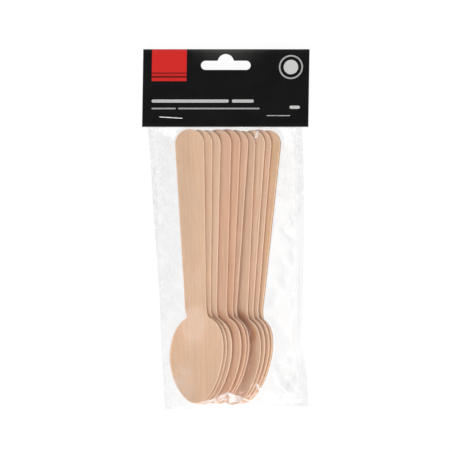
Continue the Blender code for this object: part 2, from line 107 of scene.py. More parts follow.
CARD_WIDTH, CARD_LEAF = 85.0, 39.8
CARD_TOP_Y = 92.1
CARD_LEAN = math.radians(0.9)
CARD_THICK = 0.40
CARD_MID_Z = 4.43
FILM_GAP = 0.12
FLARE_START = 3.8
FRONT_FLARE, BACK_FLARE = 1.5, 0.7
SLOT_BAR = (25.4, 4.7)
SLOT_Y = 83.84
SLOT_RISE, SLOT_RISE_R, SLOT_FILLET = 3.4, 4.15, 0.5

STAPLE_WIRE = 0.5
STAPLE_CROWN = 12.3
STAPLE_LEG_IN = 4.6
STAPLES = {"staple_left": (-28.15, 57.15, -3.4), "staple_right": (26.8, 58.15, 0.0)}


# ---------------------------------------------------------------- node trees
class Tree:
    """A material's node tree, with short calls for the nodes used here."""

    def __init__(self, name):
        self.mat = bpy.data.materials.new(name)
        self.mat.use_nodes = True
        self.nt = self.mat.node_tree
        self.nt.nodes.clear()
        self.out = self.nt.nodes.new("ShaderNodeOutputMaterial")

    def put(self, socket, value):
        if isinstance(value, bpy.types.NodeSocket):
            self.nt.links.new(value, socket)
        else:
            socket.default_value = value

    def node(self, kind, inputs=None, **props):
        made = self.nt.nodes.new(kind)
        for key, value in props.items():
            setattr(made, key, value)
        for key, value in (inputs or {}).items():
            self.put(made.inputs[key], value)
        return made

    def math(self, op, a, b=0.0, c=None, clamp=False):
        made = self.nt.nodes.new("ShaderNodeMath")
        made.operation = op
        made.use_clamp = clamp
        self.put(made.inputs[0], a)
        self.put(made.inputs[1], b)
        if c is not None:
            self.put(made.inputs[2], c)
        return made.outputs[0]

    def vec(self, op, a, b=(0.0, 0.0, 0.0)):
        made = self.nt.nodes.new("ShaderNodeVectorMath")
        made.operation = op
        self.put(made.inputs[0], a)
        if op == "SCALE":
            self.put(made.inputs["Scale"], b)
        else:
            self.put(made.inputs[1], b)
        return made.outputs[0]

    def xyz(self, vector):
        made = self.node("ShaderNodeSeparateXYZ", {0: vector})
        return made.outputs[0], made.outputs[1], made.outputs[2]

    def join(self, x, y, z):
        return self.node("ShaderNodeCombineXYZ", {0: x, 1: y, 2: z}).outputs[0]

    def noise(self, vector, scale=1.0, detail=2.0, rough=0.5, distortion=0.0):
        made = self.node("ShaderNodeTexNoise")
        made.noise_dimensions = "3D"
        self.put(made.inputs["Vector"], vector)
        self.put(made.inputs["Scale"], scale)
        self.put(made.inputs["Detail"], detail)
        self.put(made.inputs["Roughness"], rough)
        self.put(made.inputs["Distortion"], distortion)
        return made.outputs[0]

    def ramp(self, value, low, high, to_low=0.0, to_high=1.0, smooth=True):
        made = self.nt.nodes.new("ShaderNodeMapRange")
        made.interpolation_type = "SMOOTHSTEP" if smooth else "LINEAR"
        made.clamp = True
        for key, v in (("Value", value), ("From Min", low), ("From Max", high),
                       ("To Min", to_low), ("To Max", to_high)):
            self.put(made.inputs[key], v)
        return made.outputs[0]

    def mix(self, fac, a, b, mode="MIX"):
        made = self.nt.nodes.new("ShaderNodeMix")
        made.data_type = "RGBA"
        made.blend_type = mode
        made.clamp_factor = True
        self.put(made.inputs[0], fac)
        self.put(made.inputs[6], a if not isinstance(a, tuple) else (*a, 1.0)[:4])
        self.put(made.inputs[7], b if not isinstance(b, tuple) else (*b, 1.0)[:4])
        return made.outputs[2]

    def attribute(self, name):
        return self.node("ShaderNodeAttribute", attribute_name=name).outputs["Fac"]

    def own(self):
        """Coordinates in mm from before the piece was set in its place."""
        return self.node("ShaderNodeAttribute", attribute_name="own").outputs["Vector"]

    def bump(self, height, distance, strength=1.0, normal=None):
        made = self.node("ShaderNodeBump")
        self.put(made.inputs["Height"], height)
        self.put(made.inputs["Distance"], distance)
        self.put(made.inputs["Strength"], strength)
        if normal is not None:
            self.put(made.inputs["Normal"], normal)
        return made.outputs[0]

    def millimetres(self):
        """The piece's own coordinates in mm."""
        place = self.node("ShaderNodeTexCoord").outputs["Object"]
        return self.vec("SCALE", place, 1000.0)

    def finish(self, shader):
        self.nt.links.new(shader, self.out.inputs["Surface"])
        return self.mat


def birch_material(name, seed, light, dark, wave, shoulder_shade_amount):
    """Rotary-cut birch veneer: long fine grain, soft bands, short flecks."""
    t = Tree(name)
    place = t.own()
    ox, oy, _ = t.xyz(place)
    place = t.vec("ADD", place, (seed * 37.7, seed * 211.3, seed * 19.1))
    sway = t.noise(t.vec("MULTIPLY", place, (0.035, 0.013, 0.05)), 1.0, 2.0, 0.5)
    sway = t.math("MULTIPLY", t.math("SUBTRACT", sway, 0.5), wave)
    x, y, z = t.xyz(place)
    x = t.math("ADD", x, sway)
    bands = t.noise(t.join(t.math("MULTIPLY", x, 0.21), t.math("MULTIPLY", y, 0.006), 0.0),
                    1.0, 2.0, 0.55)
    fibre = t.noise(t.join(t.math("MULTIPLY", x, 1.05), t.math("MULTIPLY", y, 0.026), 0.0),
                    1.0, 4.0, 0.62)
    fine = t.noise(t.join(t.math("MULTIPLY", x, 4.2), t.math("MULTIPLY", y, 0.075),
                          t.math("MULTIPLY", z, 3.0)), 1.0, 3.0, 0.6)
    fleck = t.noise(t.join(t.math("MULTIPLY", x, 2.3), t.math("MULTIPLY", y, 0.24), 3.7),
                    1.0, 2.0, 0.5)
    blotch = t.noise(t.vec("MULTIPLY", place, (0.055, 0.03, 0.05)), 1.0, 3.0, 0.6)
    cloud = t.noise(t.vec("MULTIPLY", place, (0.16, 0.055, 0.1)), 1.0, 3.0, 0.6)
    fleck = t.ramp(fleck, 0.64, 0.74)
    tone = t.math("ADD", t.math("MULTIPLY", t.ramp(bands, 0.30, 0.70), 0.14),
                  t.math("MULTIPLY", t.ramp(fibre, 0.35, 0.65), 0.36))
    tone = t.math("ADD", tone, t.math("MULTIPLY", t.ramp(fine, 0.25, 0.75), 0.34))
    tone = t.math("ADD", tone, t.math("MULTIPLY", t.ramp(cloud, 0.32, 0.68), 0.16))
    colour = t.mix(tone, dark, light)
    warm = t.mix(1.0, colour, (1.03, 0.985, 0.95), "MULTIPLY")
    colour = t.mix(t.ramp(blotch, 0.42, 0.62), colour, warm)
    colour = t.mix(t.math("MULTIPLY", fleck, 0.30), colour,
                   tuple(c * 0.74 for c in dark))
    # Painted shade: a browner band where the spoon above shades this one, strong at the right shoulder,
    # fainter on down the right of the bowl.
    centre = t.math("SUBTRACT", t.ramp(oy, -91.4, -77.4, 8.2, 0.2), t.ramp(oy, -126.0, -104.0, 3.5, 0.0))
    painted_shoulder_shade = t.ramp(t.math("ABSOLUTE", t.math("SUBTRACT", ox, centre)), 0.8, 4.2, shoulder_shade_amount, 0.0)
    painted_shoulder_shade = t.math("MULTIPLY", painted_shoulder_shade, t.ramp(oy, -82.5, -77.0, 1.0, 0.0))
    painted_shoulder_shade = t.math("MULTIPLY", painted_shoulder_shade, t.ramp(oy, -98.0, -91.5, 0.30, 1.0))
    colour = t.mix(painted_shoulder_shade, colour, t.mix(1.0, colour, (0.74, 0.50, 0.355), "MULTIPLY"))
    # The stamped edge is painted pale along its crest, a painted highlight where light catches the softened
    # edge. Down its side it is darker, partly for the ends of the fibres that it shows and partly as painted
    # shade in the gaps between spoons.
    rim = t.attribute("rim")
    stripes = t.noise(t.join(t.math("MULTIPLY", x, 0.8), t.math("MULTIPLY", y, 0.9),
                             t.math("MULTIPLY", z, 5.0)), 1.0, 2.0, 0.6)
    painted_crest_highlight = tuple(min(c * k, 1.0) for c, k in zip(light, (1.17, 1.25, 1.32)))
    colour = t.mix(t.math("MULTIPLY", t.ramp(rim, 0.0, 0.35), 0.85), colour, painted_crest_highlight)
    # The side's darker colour: end grain and painted shade.
    side = t.mix(t.ramp(stripes, 0.3, 0.7), (0.40, 0.228, 0.141), (0.57, 0.364, 0.244))
    colour = t.mix(t.ramp(rim, 0.66, 0.96), colour, side)
    rough = t.ramp(fibre, 0.3, 0.7, 0.66, 0.52)
    height = t.math("ADD", t.math("MULTIPLY", fine, 0.6), t.math("MULTIPLY", fibre, 0.9))
    height = t.math("SUBTRACT", height, t.math("MULTIPLY", fleck, 0.45))
    height = t.math("ADD", height, t.math("MULTIPLY", t.math("MULTIPLY", stripes, rim), 0.8))
    shader = t.node("ShaderNodeBsdfPrincipled", {
        "Base Color": colour, "Roughness": rough, "Specular IOR Level": 0.32,
        "Normal": t.bump(height, 0.00006, 0.55)})
    return t.finish(shader.outputs[0])


def bar_group():
    """A node group: 1 inside a bar with round ends, 0 outside."""
    group = bpy.data.node_groups.new("plain_bar", "ShaderNodeTree")
    for label in ("X", "Y", "Middle X", "Middle Y", "Half length", "Half height"):
        group.interface.new_socket(label, in_out="INPUT", socket_type="NodeSocketFloat")
    group.interface.new_socket("Inside", in_out="OUTPUT", socket_type="NodeSocketFloat")
    given = group.nodes.new("NodeGroupInput")
    result = group.nodes.new("NodeGroupOutput")

    def math(op, a, b=0.0, clamp=False):
        made = group.nodes.new("ShaderNodeMath")
        made.operation = op
        made.use_clamp = clamp
        for socket, value in ((made.inputs[0], a), (made.inputs[1], b)):
            if isinstance(value, bpy.types.NodeSocket):
                group.links.new(value, socket)
            else:
                socket.default_value = value
        return made.outputs[0]

    x = math("ABSOLUTE", math("SUBTRACT", given.outputs["X"], given.outputs["Middle X"]))
    y = math("ABSOLUTE", math("SUBTRACT", given.outputs["Y"], given.outputs["Middle Y"]))
    half = given.outputs["Half height"]
    past = math("MAXIMUM", math("SUBTRACT", x, math("SUBTRACT", given.outputs["Half length"], half)))
    away = math("SQRT", math("ADD", math("MULTIPLY", past, past), math("MULTIPLY", y, y)))
    inside = math("DIVIDE", math("SUBTRACT", half, away), 0.035)
    group.links.new(math("ADD", inside, 0.5, True), result.inputs[0])
    return group


def card_material():
    """Satin black print on board, with plain fields of red and white, rubbed a little along the cut edges
    and the corners, and lighter along the fold, most at its middle, partly as rubbed print and partly as
    painted sheen."""
    t = Tree("card_print")
    place = t.millimetres()
    shake = t.noise(t.vec("SCALE", place, 7.0), 1.0, 2.0, 0.5)
    x, y, z = t.xyz(place)
    # Straighten the card's small lean, so that the print follows its edges.
    x = t.math("SUBTRACT", x, t.math("MULTIPLY", t.math("SUBTRACT", y, CARD_TOP_Y - CARD_LEAF / 2),
                                     math.tan(CARD_LEAN)))
    wobble = t.math("MULTIPLY", t.math("SUBTRACT", shake, 0.5), 0.10)
    px, py = t.math("ADD", x, wobble), t.math("ADD", y, wobble)
    front = t.ramp(z, CARD_MID_Z + 0.3, CARD_MID_Z + 0.4, smooth=False)
    group = bar_group()

    def bar(x0, x1, y0, y1):
        made = t.node("ShaderNodeGroup", node_tree=group)
        for key, value in (("X", px), ("Y", py), ("Middle X", (x0 + x1) / 2),
                           ("Middle Y", (y0 + y1) / 2), ("Half length", abs(x1 - x0) / 2),
                           ("Half height", abs(y1 - y0) / 2)):
            t.put(made.inputs[key], value)
        return made.outputs[0]

    def either(masks):
        total = masks[0]
        for mask in masks[1:]:
            total = t.math("MAXIMUM", total, mask)
        return total

    def between(value, low, high, soft=0.03):
        a = t.ramp(value, low - soft, low + soft, smooth=False)
        b = t.ramp(value, high - soft, high + soft, 1.0, 0.0, smooth=False)
        return t.math("MULTIPLY", a, b)

    # The red field runs over the fold onto the back leaf's top edge.
    red = t.math("MULTIPLY", between(px, -37.95, -20.15), between(py, 75.75, 200.0))
    red = t.math("MULTIPLY", red, t.ramp(z, CARD_MID_Z - 0.75, CARD_MID_Z - 0.6, smooth=False))

    # Two plain rows of bars, and two darker stripes right across the red field.
    title = either([bar(-37.8, 1.6, 64.75, 66.35), bar(3.2, 14.4, 64.75, 66.35)])
    lesser = either([bar(-37.8, -25.4, 61.35, 62.15), bar(-24.2, 17.4, 61.35, 62.15)])
    stripes = either([between(py, 77.35, 78.55), between(py, 79.45, 80.15)])

    # A plain ring round a plain disc, and one short bar.
    cx, cy = 33.1, 82.95
    dx, dy = t.math("SUBTRACT", px, cx), t.math("SUBTRACT", py, cy)
    radius = t.math("SQRT", t.math("ADD", t.math("MULTIPLY", dx, dx), t.math("MULTIPLY", dy, dy)))
    ring = between(radius, 5.35, 6.15)
    disc = between(radius, -1.0, 3.7)
    count = bar(32.7, 38.0, 61.6, 63.2)

    white = either([t.math("MULTIPLY", title, 0.62), t.math("MULTIPLY", lesser, 0.42),
                    t.math("MULTIPLY", ring, 0.48), t.math("MULTIPLY", disc, 0.72),
                    t.math("MULTIPLY", count, 0.70)])
    white = t.math("MULTIPLY", white, front)

    grain = t.noise(t.vec("SCALE", place, 1.6), 1.0, 4.0, 0.65)
    fibre = t.noise(t.vec("MULTIPLY", place, (3.0, 9.0, 9.0)), 1.0, 3.0, 0.6)
    mottled = t.noise(t.vec("SCALE", place, 0.11), 1.0, 3.0, 0.55)
    ink = t.mix(t.ramp(mottled, 0.3, 0.7), (0.0036, 0.0036, 0.0039), (0.0056, 0.0055, 0.0054))
    ink = t.mix(red, ink, (0.570, 0.0215, 0.0190))
    ink = t.mix(t.math("MULTIPLY", t.math("MULTIPLY", stripes, t.math("MULTIPLY", red, front)), 0.70), ink, (0.020, 0.0050, 0.0050))
    paper = t.mix(t.ramp(grain, 0.3, 0.7), (0.66, 0.66, 0.655), (0.80, 0.80, 0.79))
    colour = t.mix(white, ink, paper)

    # Rubbing along the cut edges and corners. Along the fold, most at its middle, the lighter grey is partly
    # rubbed print and partly painted sheen, and where the fold bulges above the slot it is painted sheen.
    fold = t.ramp(y, CARD_TOP_Y - 2.6, CARD_TOP_Y - 0.1)
    middle = t.ramp(t.math("ABSOLUTE", x), 3.0, 27.0, 1.0, 0.25)
    painted_fold_sheen = t.math("MULTIPLY", t.ramp(y, CARD_TOP_Y - 10.5, CARD_TOP_Y - 0.3),
                   t.ramp(t.math("ABSOLUTE", t.math("SUBTRACT", x, 0.6)), 2.0, 22.0, 1.0, 0.0))
    rubbed = t.math("MULTIPLY", t.math("MULTIPLY", fold, middle), t.ramp(grain, 0.35, 0.75, 0.35, 1.0))
    side = t.ramp(t.math("ABSOLUTE", x), CARD_WIDTH / 2 - 0.55, CARD_WIDTH / 2 - 0.02)
    low = t.ramp(y, CARD_TOP_Y - CARD_LEAF + 0.55, CARD_TOP_Y - CARD_LEAF + 0.02)
    cut = t.math("MULTIPLY", t.math("MAXIMUM", side, low), t.ramp(fibre, 0.45, 0.72))
    wear_and_sheen = t.math("MAXIMUM", t.math("MULTIPLY", rubbed, 0.16), t.math("MULTIPLY", cut, 0.30))
    # Painted sheen at the top middle of the card, where the fold bulges.
    wear_and_sheen = t.math("ADD", wear_and_sheen, t.math("MULTIPLY", painted_fold_sheen, 0.084))
    colour = t.mix(wear_and_sheen, colour, (0.33, 0.32, 0.31))
    scuff = t.noise(t.vec("MULTIPLY", place, (0.35, 2.2, 2.2)), 1.0, 4.0, 0.7)
    scuff = t.ramp(scuff, 0.66, 0.78)
    colour = t.mix(t.math("MULTIPLY", scuff, 0.012), colour, (0.5, 0.5, 0.5))

    rough = t.ramp(grain, 0.3, 0.7, 0.40, 0.50)
    rough = t.math("ADD", rough, t.math("MULTIPLY", wear_and_sheen, 0.5))
    rough = t.mix(t.math("MULTIPLY", t.math("MAXIMUM", white, red), 0.5), rough, (0.34, 0.34, 0.34))
    height = t.math("ADD", t.math("MULTIPLY", grain, 0.6), t.math("MULTIPLY", fibre, 0.4))
    height = t.math("ADD", height, t.math("MULTIPLY", t.math("MAXIMUM", white, red), 0.25))
    shader = t.node("ShaderNodeBsdfPrincipled", {
        "Base Color": colour, "Roughness": rough, "Specular IOR Level": 0.10,
        "Normal": t.bump(height, 0.00004, 0.35)})
    return t.finish(shader.outputs[0])


def board_material(name, pale, dull):
    """Unprinted board, inside the fold and along the cuts."""
    t = Tree(name)
    place = t.millimetres()
    fibre = t.noise(t.vec("MULTIPLY", place, (2.2, 2.2, 9.0)), 1.0, 5.0, 0.7)
    layers = t.noise(t.vec("MULTIPLY", place, (0.5, 0.5, 11.0)), 1.0, 2.0, 0.5)
    tone = t.math("ADD", t.math("MULTIPLY", fibre, 0.6), t.math("MULTIPLY", layers, 0.4))
    colour = t.mix(t.ramp(tone, 0.35, 0.65), dull, pale)
    shader = t.node("ShaderNodeBsdfPrincipled", {
        "Base Color": colour, "Roughness": t.ramp(fibre, 0.3, 0.7, 0.78, 0.90),
        "Specular IOR Level": 0.25, "Normal": t.bump(tone, 0.00008, 0.6)})
    return t.finish(shader.outputs[0])


def steel_material(name, shade):
    """Bright drawn wire with fine lines along it and a few rubbed spots."""
    t = Tree(name)
    place = t.own()
    x, y, z = t.xyz(place)
    lines = t.noise(t.vec("MULTIPLY", place, (0.5, 14.0, 14.0)), 1.0, 3.0, 0.6)
    spots = t.noise(t.vec("SCALE", place, 1.3), 1.0, 4.0, 0.65)
    tone = t.math("ADD", t.math("MULTIPLY", lines, 0.6), t.math("MULTIPLY", spots, 0.4))
    # A shade below 1 darkens the wire's colour: painted shade.
    colour = t.mix(t.ramp(tone, 0.35, 0.65), tuple(c * shade for c in (0.60, 0.595, 0.58)),
                   tuple(c * shade for c in (0.92, 0.92, 0.91)))
    shader = t.node("ShaderNodeBsdfPrincipled", {
        "Base Color": colour, "Metallic": 1.0,
        "Roughness": t.ramp(tone, 0.35, 0.65, 0.48, 0.32),
        "Normal": t.bump(lines, 0.00002, 0.5)})
    return t.finish(shader.outputs[0])


def film_material():
    """Thin clear film: see-through, mirror-like where it turns, and faintly milky all over. Its white layer
    also carries painted glare and painted soft reflections, in the crumples, along creases, over the spoons
    and by the card."""
    t = Tree("film_outside")
    place = t.millimetres()
    weld, haze_and_painted_glare, tint = t.attribute("weld"), t.attribute("haze_and_painted_glare"), t.attribute("tint")
    broad = t.noise(t.vec("MULTIPLY", place, (0.09, 0.05, 0.09)), 1.0, 3.0, 0.55)
    fine = t.noise(t.vec("MULTIPLY", place, (0.55, 0.30, 0.5)), 1.0, 4.0, 0.65, 0.6)
    mottle = t.noise(t.vec("MULTIPLY", place, (0.95, 0.60, 0.9)), 1.0, 3.0, 0.7, 0.8)
    x, y, z = t.xyz(place)
    ribs = t.math("SINE", t.math("MULTIPLY", y, 5.2))
    height = t.math("ADD", t.math("MULTIPLY", broad, 1.2), t.math("MULTIPLY", fine, 0.30))
    height = t.math("ADD", height, t.math("MULTIPLY", t.math("MULTIPLY", ribs, weld), 0.10))
    normal = t.bump(height, 0.0005, 0.40)
    # Both faces of the film mirror: a little more than one face would.
    facing = t.node("ShaderNodeLayerWeight", {"Blend": 0.5, "Normal": normal}).outputs["Facing"]
    mirror = t.math("MULTIPLY", t.math("POWER", facing, 5.0), 0.80)
    mirror = t.math("ADD", mirror, 0.056)
    # Welded sheets are one sheet, with half as many faces.
    mirror = t.math("MULTIPLY", mirror, t.math("SUBTRACT", 1.0, t.math("MULTIPLY", weld, 0.55)))
    patches = t.ramp(mottle, 0.30, 0.72)
    grey = t.math("MULTIPLY", tint, t.math("ADD", t.math("MULTIPLY", patches, 0.85), 0.40), clamp=True)
    colour = t.mix(grey, (0.995, 0.995, 0.996), (0.800, 0.803, 0.806))
    clear = t.node("ShaderNodeBsdfTransparent", {"Color": colour})
    gloss = t.node("ShaderNodeBsdfGlossy", {"Color": (1.0, 1.0, 1.0, 1.0), "Roughness": 0.10,
                                            "Normal": normal})
    film = t.node("ShaderNodeMixShader", {0: mirror, 1: clear.outputs[0], 2: gloss.outputs[0]})
    milky = t.node("ShaderNodeBsdfDiffuse", {"Color": (0.93, 0.94, 0.95, 1.0), "Roughness": 0.5})
    # The white layer: a faint milky veil all over, plus painted glare and painted soft reflections where the
    # pouch's attribute puts them.
    cloud = t.ramp(t.math("ADD", t.math("MULTIPLY", broad, 0.6), t.math("MULTIPLY", fine, 0.4)),
                   0.35, 0.65, 0.4, 1.0)
    milk_and_painted_glare = t.math("ADD", t.math("MULTIPLY", cloud, 0.010),
                  t.math("MULTIPLY", haze_and_painted_glare, t.ramp(fine, 0.3, 0.7, 0.45, 0.90)), clamp=True)
    both = t.node("ShaderNodeMixShader", {0: milk_and_painted_glare, 1: film.outputs[0], 2: milky.outputs[0]})
    return t.finish(both.outputs[0])


def film_inside_material():
    t = Tree("film_inside")
    place = t.millimetres()
    fine = t.noise(t.vec("MULTIPLY", place, (0.3, 0.2, 0.3)), 1.0, 2.0, 0.5)
    colour = t.mix(t.ramp(fine, 0.3, 0.7), (0.994, 0.994, 0.995), (0.998, 0.998, 0.998))
    clear = t.node("ShaderNodeBsdfTransparent", {"Color": colour})
    return t.finish(clear.outputs[0])


def floor_material():
    """White sheet, lit a little from below like a light table."""
    t = Tree("floor_white")
    place = t.node("ShaderNodeTexCoord").outputs["Object"]
    soft = t.noise(t.vec("SCALE", place, 3.0), 1.0, 2.0, 0.5)
    colour = t.mix(soft, (0.098, 0.098, 0.098), (0.104, 0.104, 0.104))
    shader = t.node("ShaderNodeBsdfPrincipled", {
        "Base Color": colour, "Roughness": 0.95, "Specular IOR Level": 0.0,
        "Emission Color": (1.0, 1.0, 1.0, 1.0), "Emission Strength": 0.925})
    return t.finish(shader.outputs[0])


# --------------------------------------------------------------------- meshes
def new_object(name, mesh, materials=()):
    for mat in materials:
        mesh.materials.append(mat)
    obj = bpy.data.objects.new(name, mesh)
    bpy.context.scene.collection.objects.link(obj)
    return obj


def mesh_from(name, points, faces):
    """A mesh from points in mm."""
    mesh = bpy.data.meshes.new(name)
    mesh.from_pydata((np.asarray(points, float) * MM).tolist(), [], faces)
    mesh.update()
    return mesh


def give_attribute(mesh, name, values):
    layer = mesh.attributes.new(name, "FLOAT", "POINT")
    layer.data.foreach_set("value", np.asarray(values, np.float32))


def give_own(mesh, points):
    layer = mesh.attributes.new("own", "FLOAT_VECTOR", "POINT")
    layer.data.foreach_set("vector", np.asarray(points, np.float32).ravel())


# ---------------------------------------------------------------- spoon shape
def half_width(s):
    s = np.asarray(s, float)
    r = HANDLE_END_R
    end = np.sqrt(np.clip(r * r - (r - np.minimum(s, r)) ** 2, 0, None))
    taper = r + (NECK_HALF - r) * np.clip((s - r) / (NECK_AT - r), 0, 1)
    handle = np.where(s < r, end, taper)
    above = np.abs(np.minimum(s - BOWL_WIDEST_AT, 0) / BOWL_UP)
    below = np.maximum(s - BOWL_WIDEST_AT, 0) / BOWL_DOWN
    shoulder = np.clip(1 - above ** BOWL_UP_POWER, 0, None) ** (1 / BOWL_UP_POWER)
    tip = np.clip(1 - below ** TIP_POWERS[0], 0, None) ** (1 / TIP_POWERS[1])
    bowl = BOWL_HALF * np.where(s < BOWL_WIDEST_AT, shoulder, tip)
    joined = 0.5 * (handle + bowl + np.sqrt((handle - bowl) ** 2 + SHOULDER_BLEND ** 2))
    return np.where(s < 88.0, handle, np.where(s < 104.0, joined, bowl))


def lean(s):
    """How far the bowl's middle lies to the right of the handle's line."""
    x = np.clip((np.asarray(s, float) - 90.0) / 10.0, 0, 1)
    return BOWL_LEAN * x * x * (3 - 2 * x) * np.tanh((112.0 - s) / 12.0)


def dish(u, s):
    inside = 1 - ((u - lean(s)) / DISH_HALF) ** 2 - ((s - DISH_AT) / DISH_LENGTH) ** 2
    hollow = 0.5 * (inside + np.sqrt(inside * inside + 0.02))
    x = np.clip((s - 82.0) / 26.0, 0, 1)
    rim = RIM_RISE * x * x * (3 - 2 * x)
    tip = TIP_RISE * np.clip((s - 116.0) / 24.0, 0, 1) ** 2
    return rim + tip - DISH_DEPTH * hollow


def axes_of(pose):
    turn = (Matrix.Rotation(pose["fan"], 3, "Z")
            @ Matrix.Rotation(pose["pitch"], 3, "X")
            @ Matrix.Rotation(-pose["roll"], 3, "Y"))
    return np.array(turn)


def face_height(pose, gx, gy, below=0.0):
    axes = axes_of(pose)
    at = np.array([pose["x"], pose["y"], pose["z"]])
    z = np.full(gx.shape, at[2])
    for _ in range(8):
        own = np.stack([gx - at[0], gy - at[1], z - at[2]], -1) @ axes
        u, s = own[..., 0], TOP_STATION - own[..., 1]
        z = z + (dish(u, np.clip(s, 0, SPOON_LENGTH)) - below - own[..., 2]) / axes[2, 2]
    on = (s > 0) & (s < SPOON_LENGTH)
    held = np.clip(s, 0, SPOON_LENGTH)
    on &= np.abs(u - lean(held)) < half_width(held)
    return np.where(on, z, np.nan), s


def lowest(values, where):
    return float(np.nanmin(np.where(where, values, np.nan)))


def settle():
    """The ten poses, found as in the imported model."""
    gx, gy = np.meshgrid(np.arange(-34, 38, 0.7), np.arange(-92, 54, 0.9))
    span = BOWL_STATION - TOP_STATION
    poses = []
    for k, (edge_top, edge_neck, roll, slip) in enumerate(FAN):
        roll = math.radians(roll)
        side = SPOON_THICK * math.sin(roll)
        at_top = edge_top - 7.39 * math.cos(roll) - side
        at_neck = edge_neck - 5.42 * math.cos(roll) - side
        fan = math.atan((at_neck - at_top) / (HANDLE_STATION_Y - NECK_STATION_Y))
        y = HANDLE_END_Y - TOP_STATION - slip
        x = at_top + (HANDLE_STATION_Y - y) * math.tan(fan)
        pose = dict(x=x, y=y, z=0.0, fan=fan, pitch=0.0, roll=roll, top=0.0, bowl=0.0)
        if poses:
            over = poses[-1]
            pose["top"], pose["bowl"] = over["top"] - 1.0, over["bowl"] - 1.5
            under, _ = face_height(over, gx, gy, SPOON_THICK)
            wanted = STACK_GAP + (LOOSE_GAP if k == LOOSE_PAIR else 0.0)
            for _ in range(12):
                pose["z"] = pose["top"]
                pose["pitch"] = math.atan2(pose["top"] - pose["bowl"], span)
                face, s = face_height(pose, gx, gy)
                pose["top"] += lowest(under - face, s < 60) - STACK_GAP
                pose["bowl"] += lowest(under - face, s > 60) - wanted
        poses.append(pose)
    for _ in range(6):
        low_top = low_bowl = 1e9
        for pose in poses:
            pose["z"] = pose["top"]
            pose["pitch"] = math.atan2(pose["top"] - pose["bowl"], span)
            under, s = face_height(pose, gx, gy, SPOON_THICK)
            low_top = min(low_top, lowest(under, s < 25))
            low_bowl = min(low_bowl, lowest(under, s > 85))
        for pose in poses:
            pose["top"] += PILE_LOW - low_top
            pose["bowl"] += PILE_LOW - low_bowl
    return poses


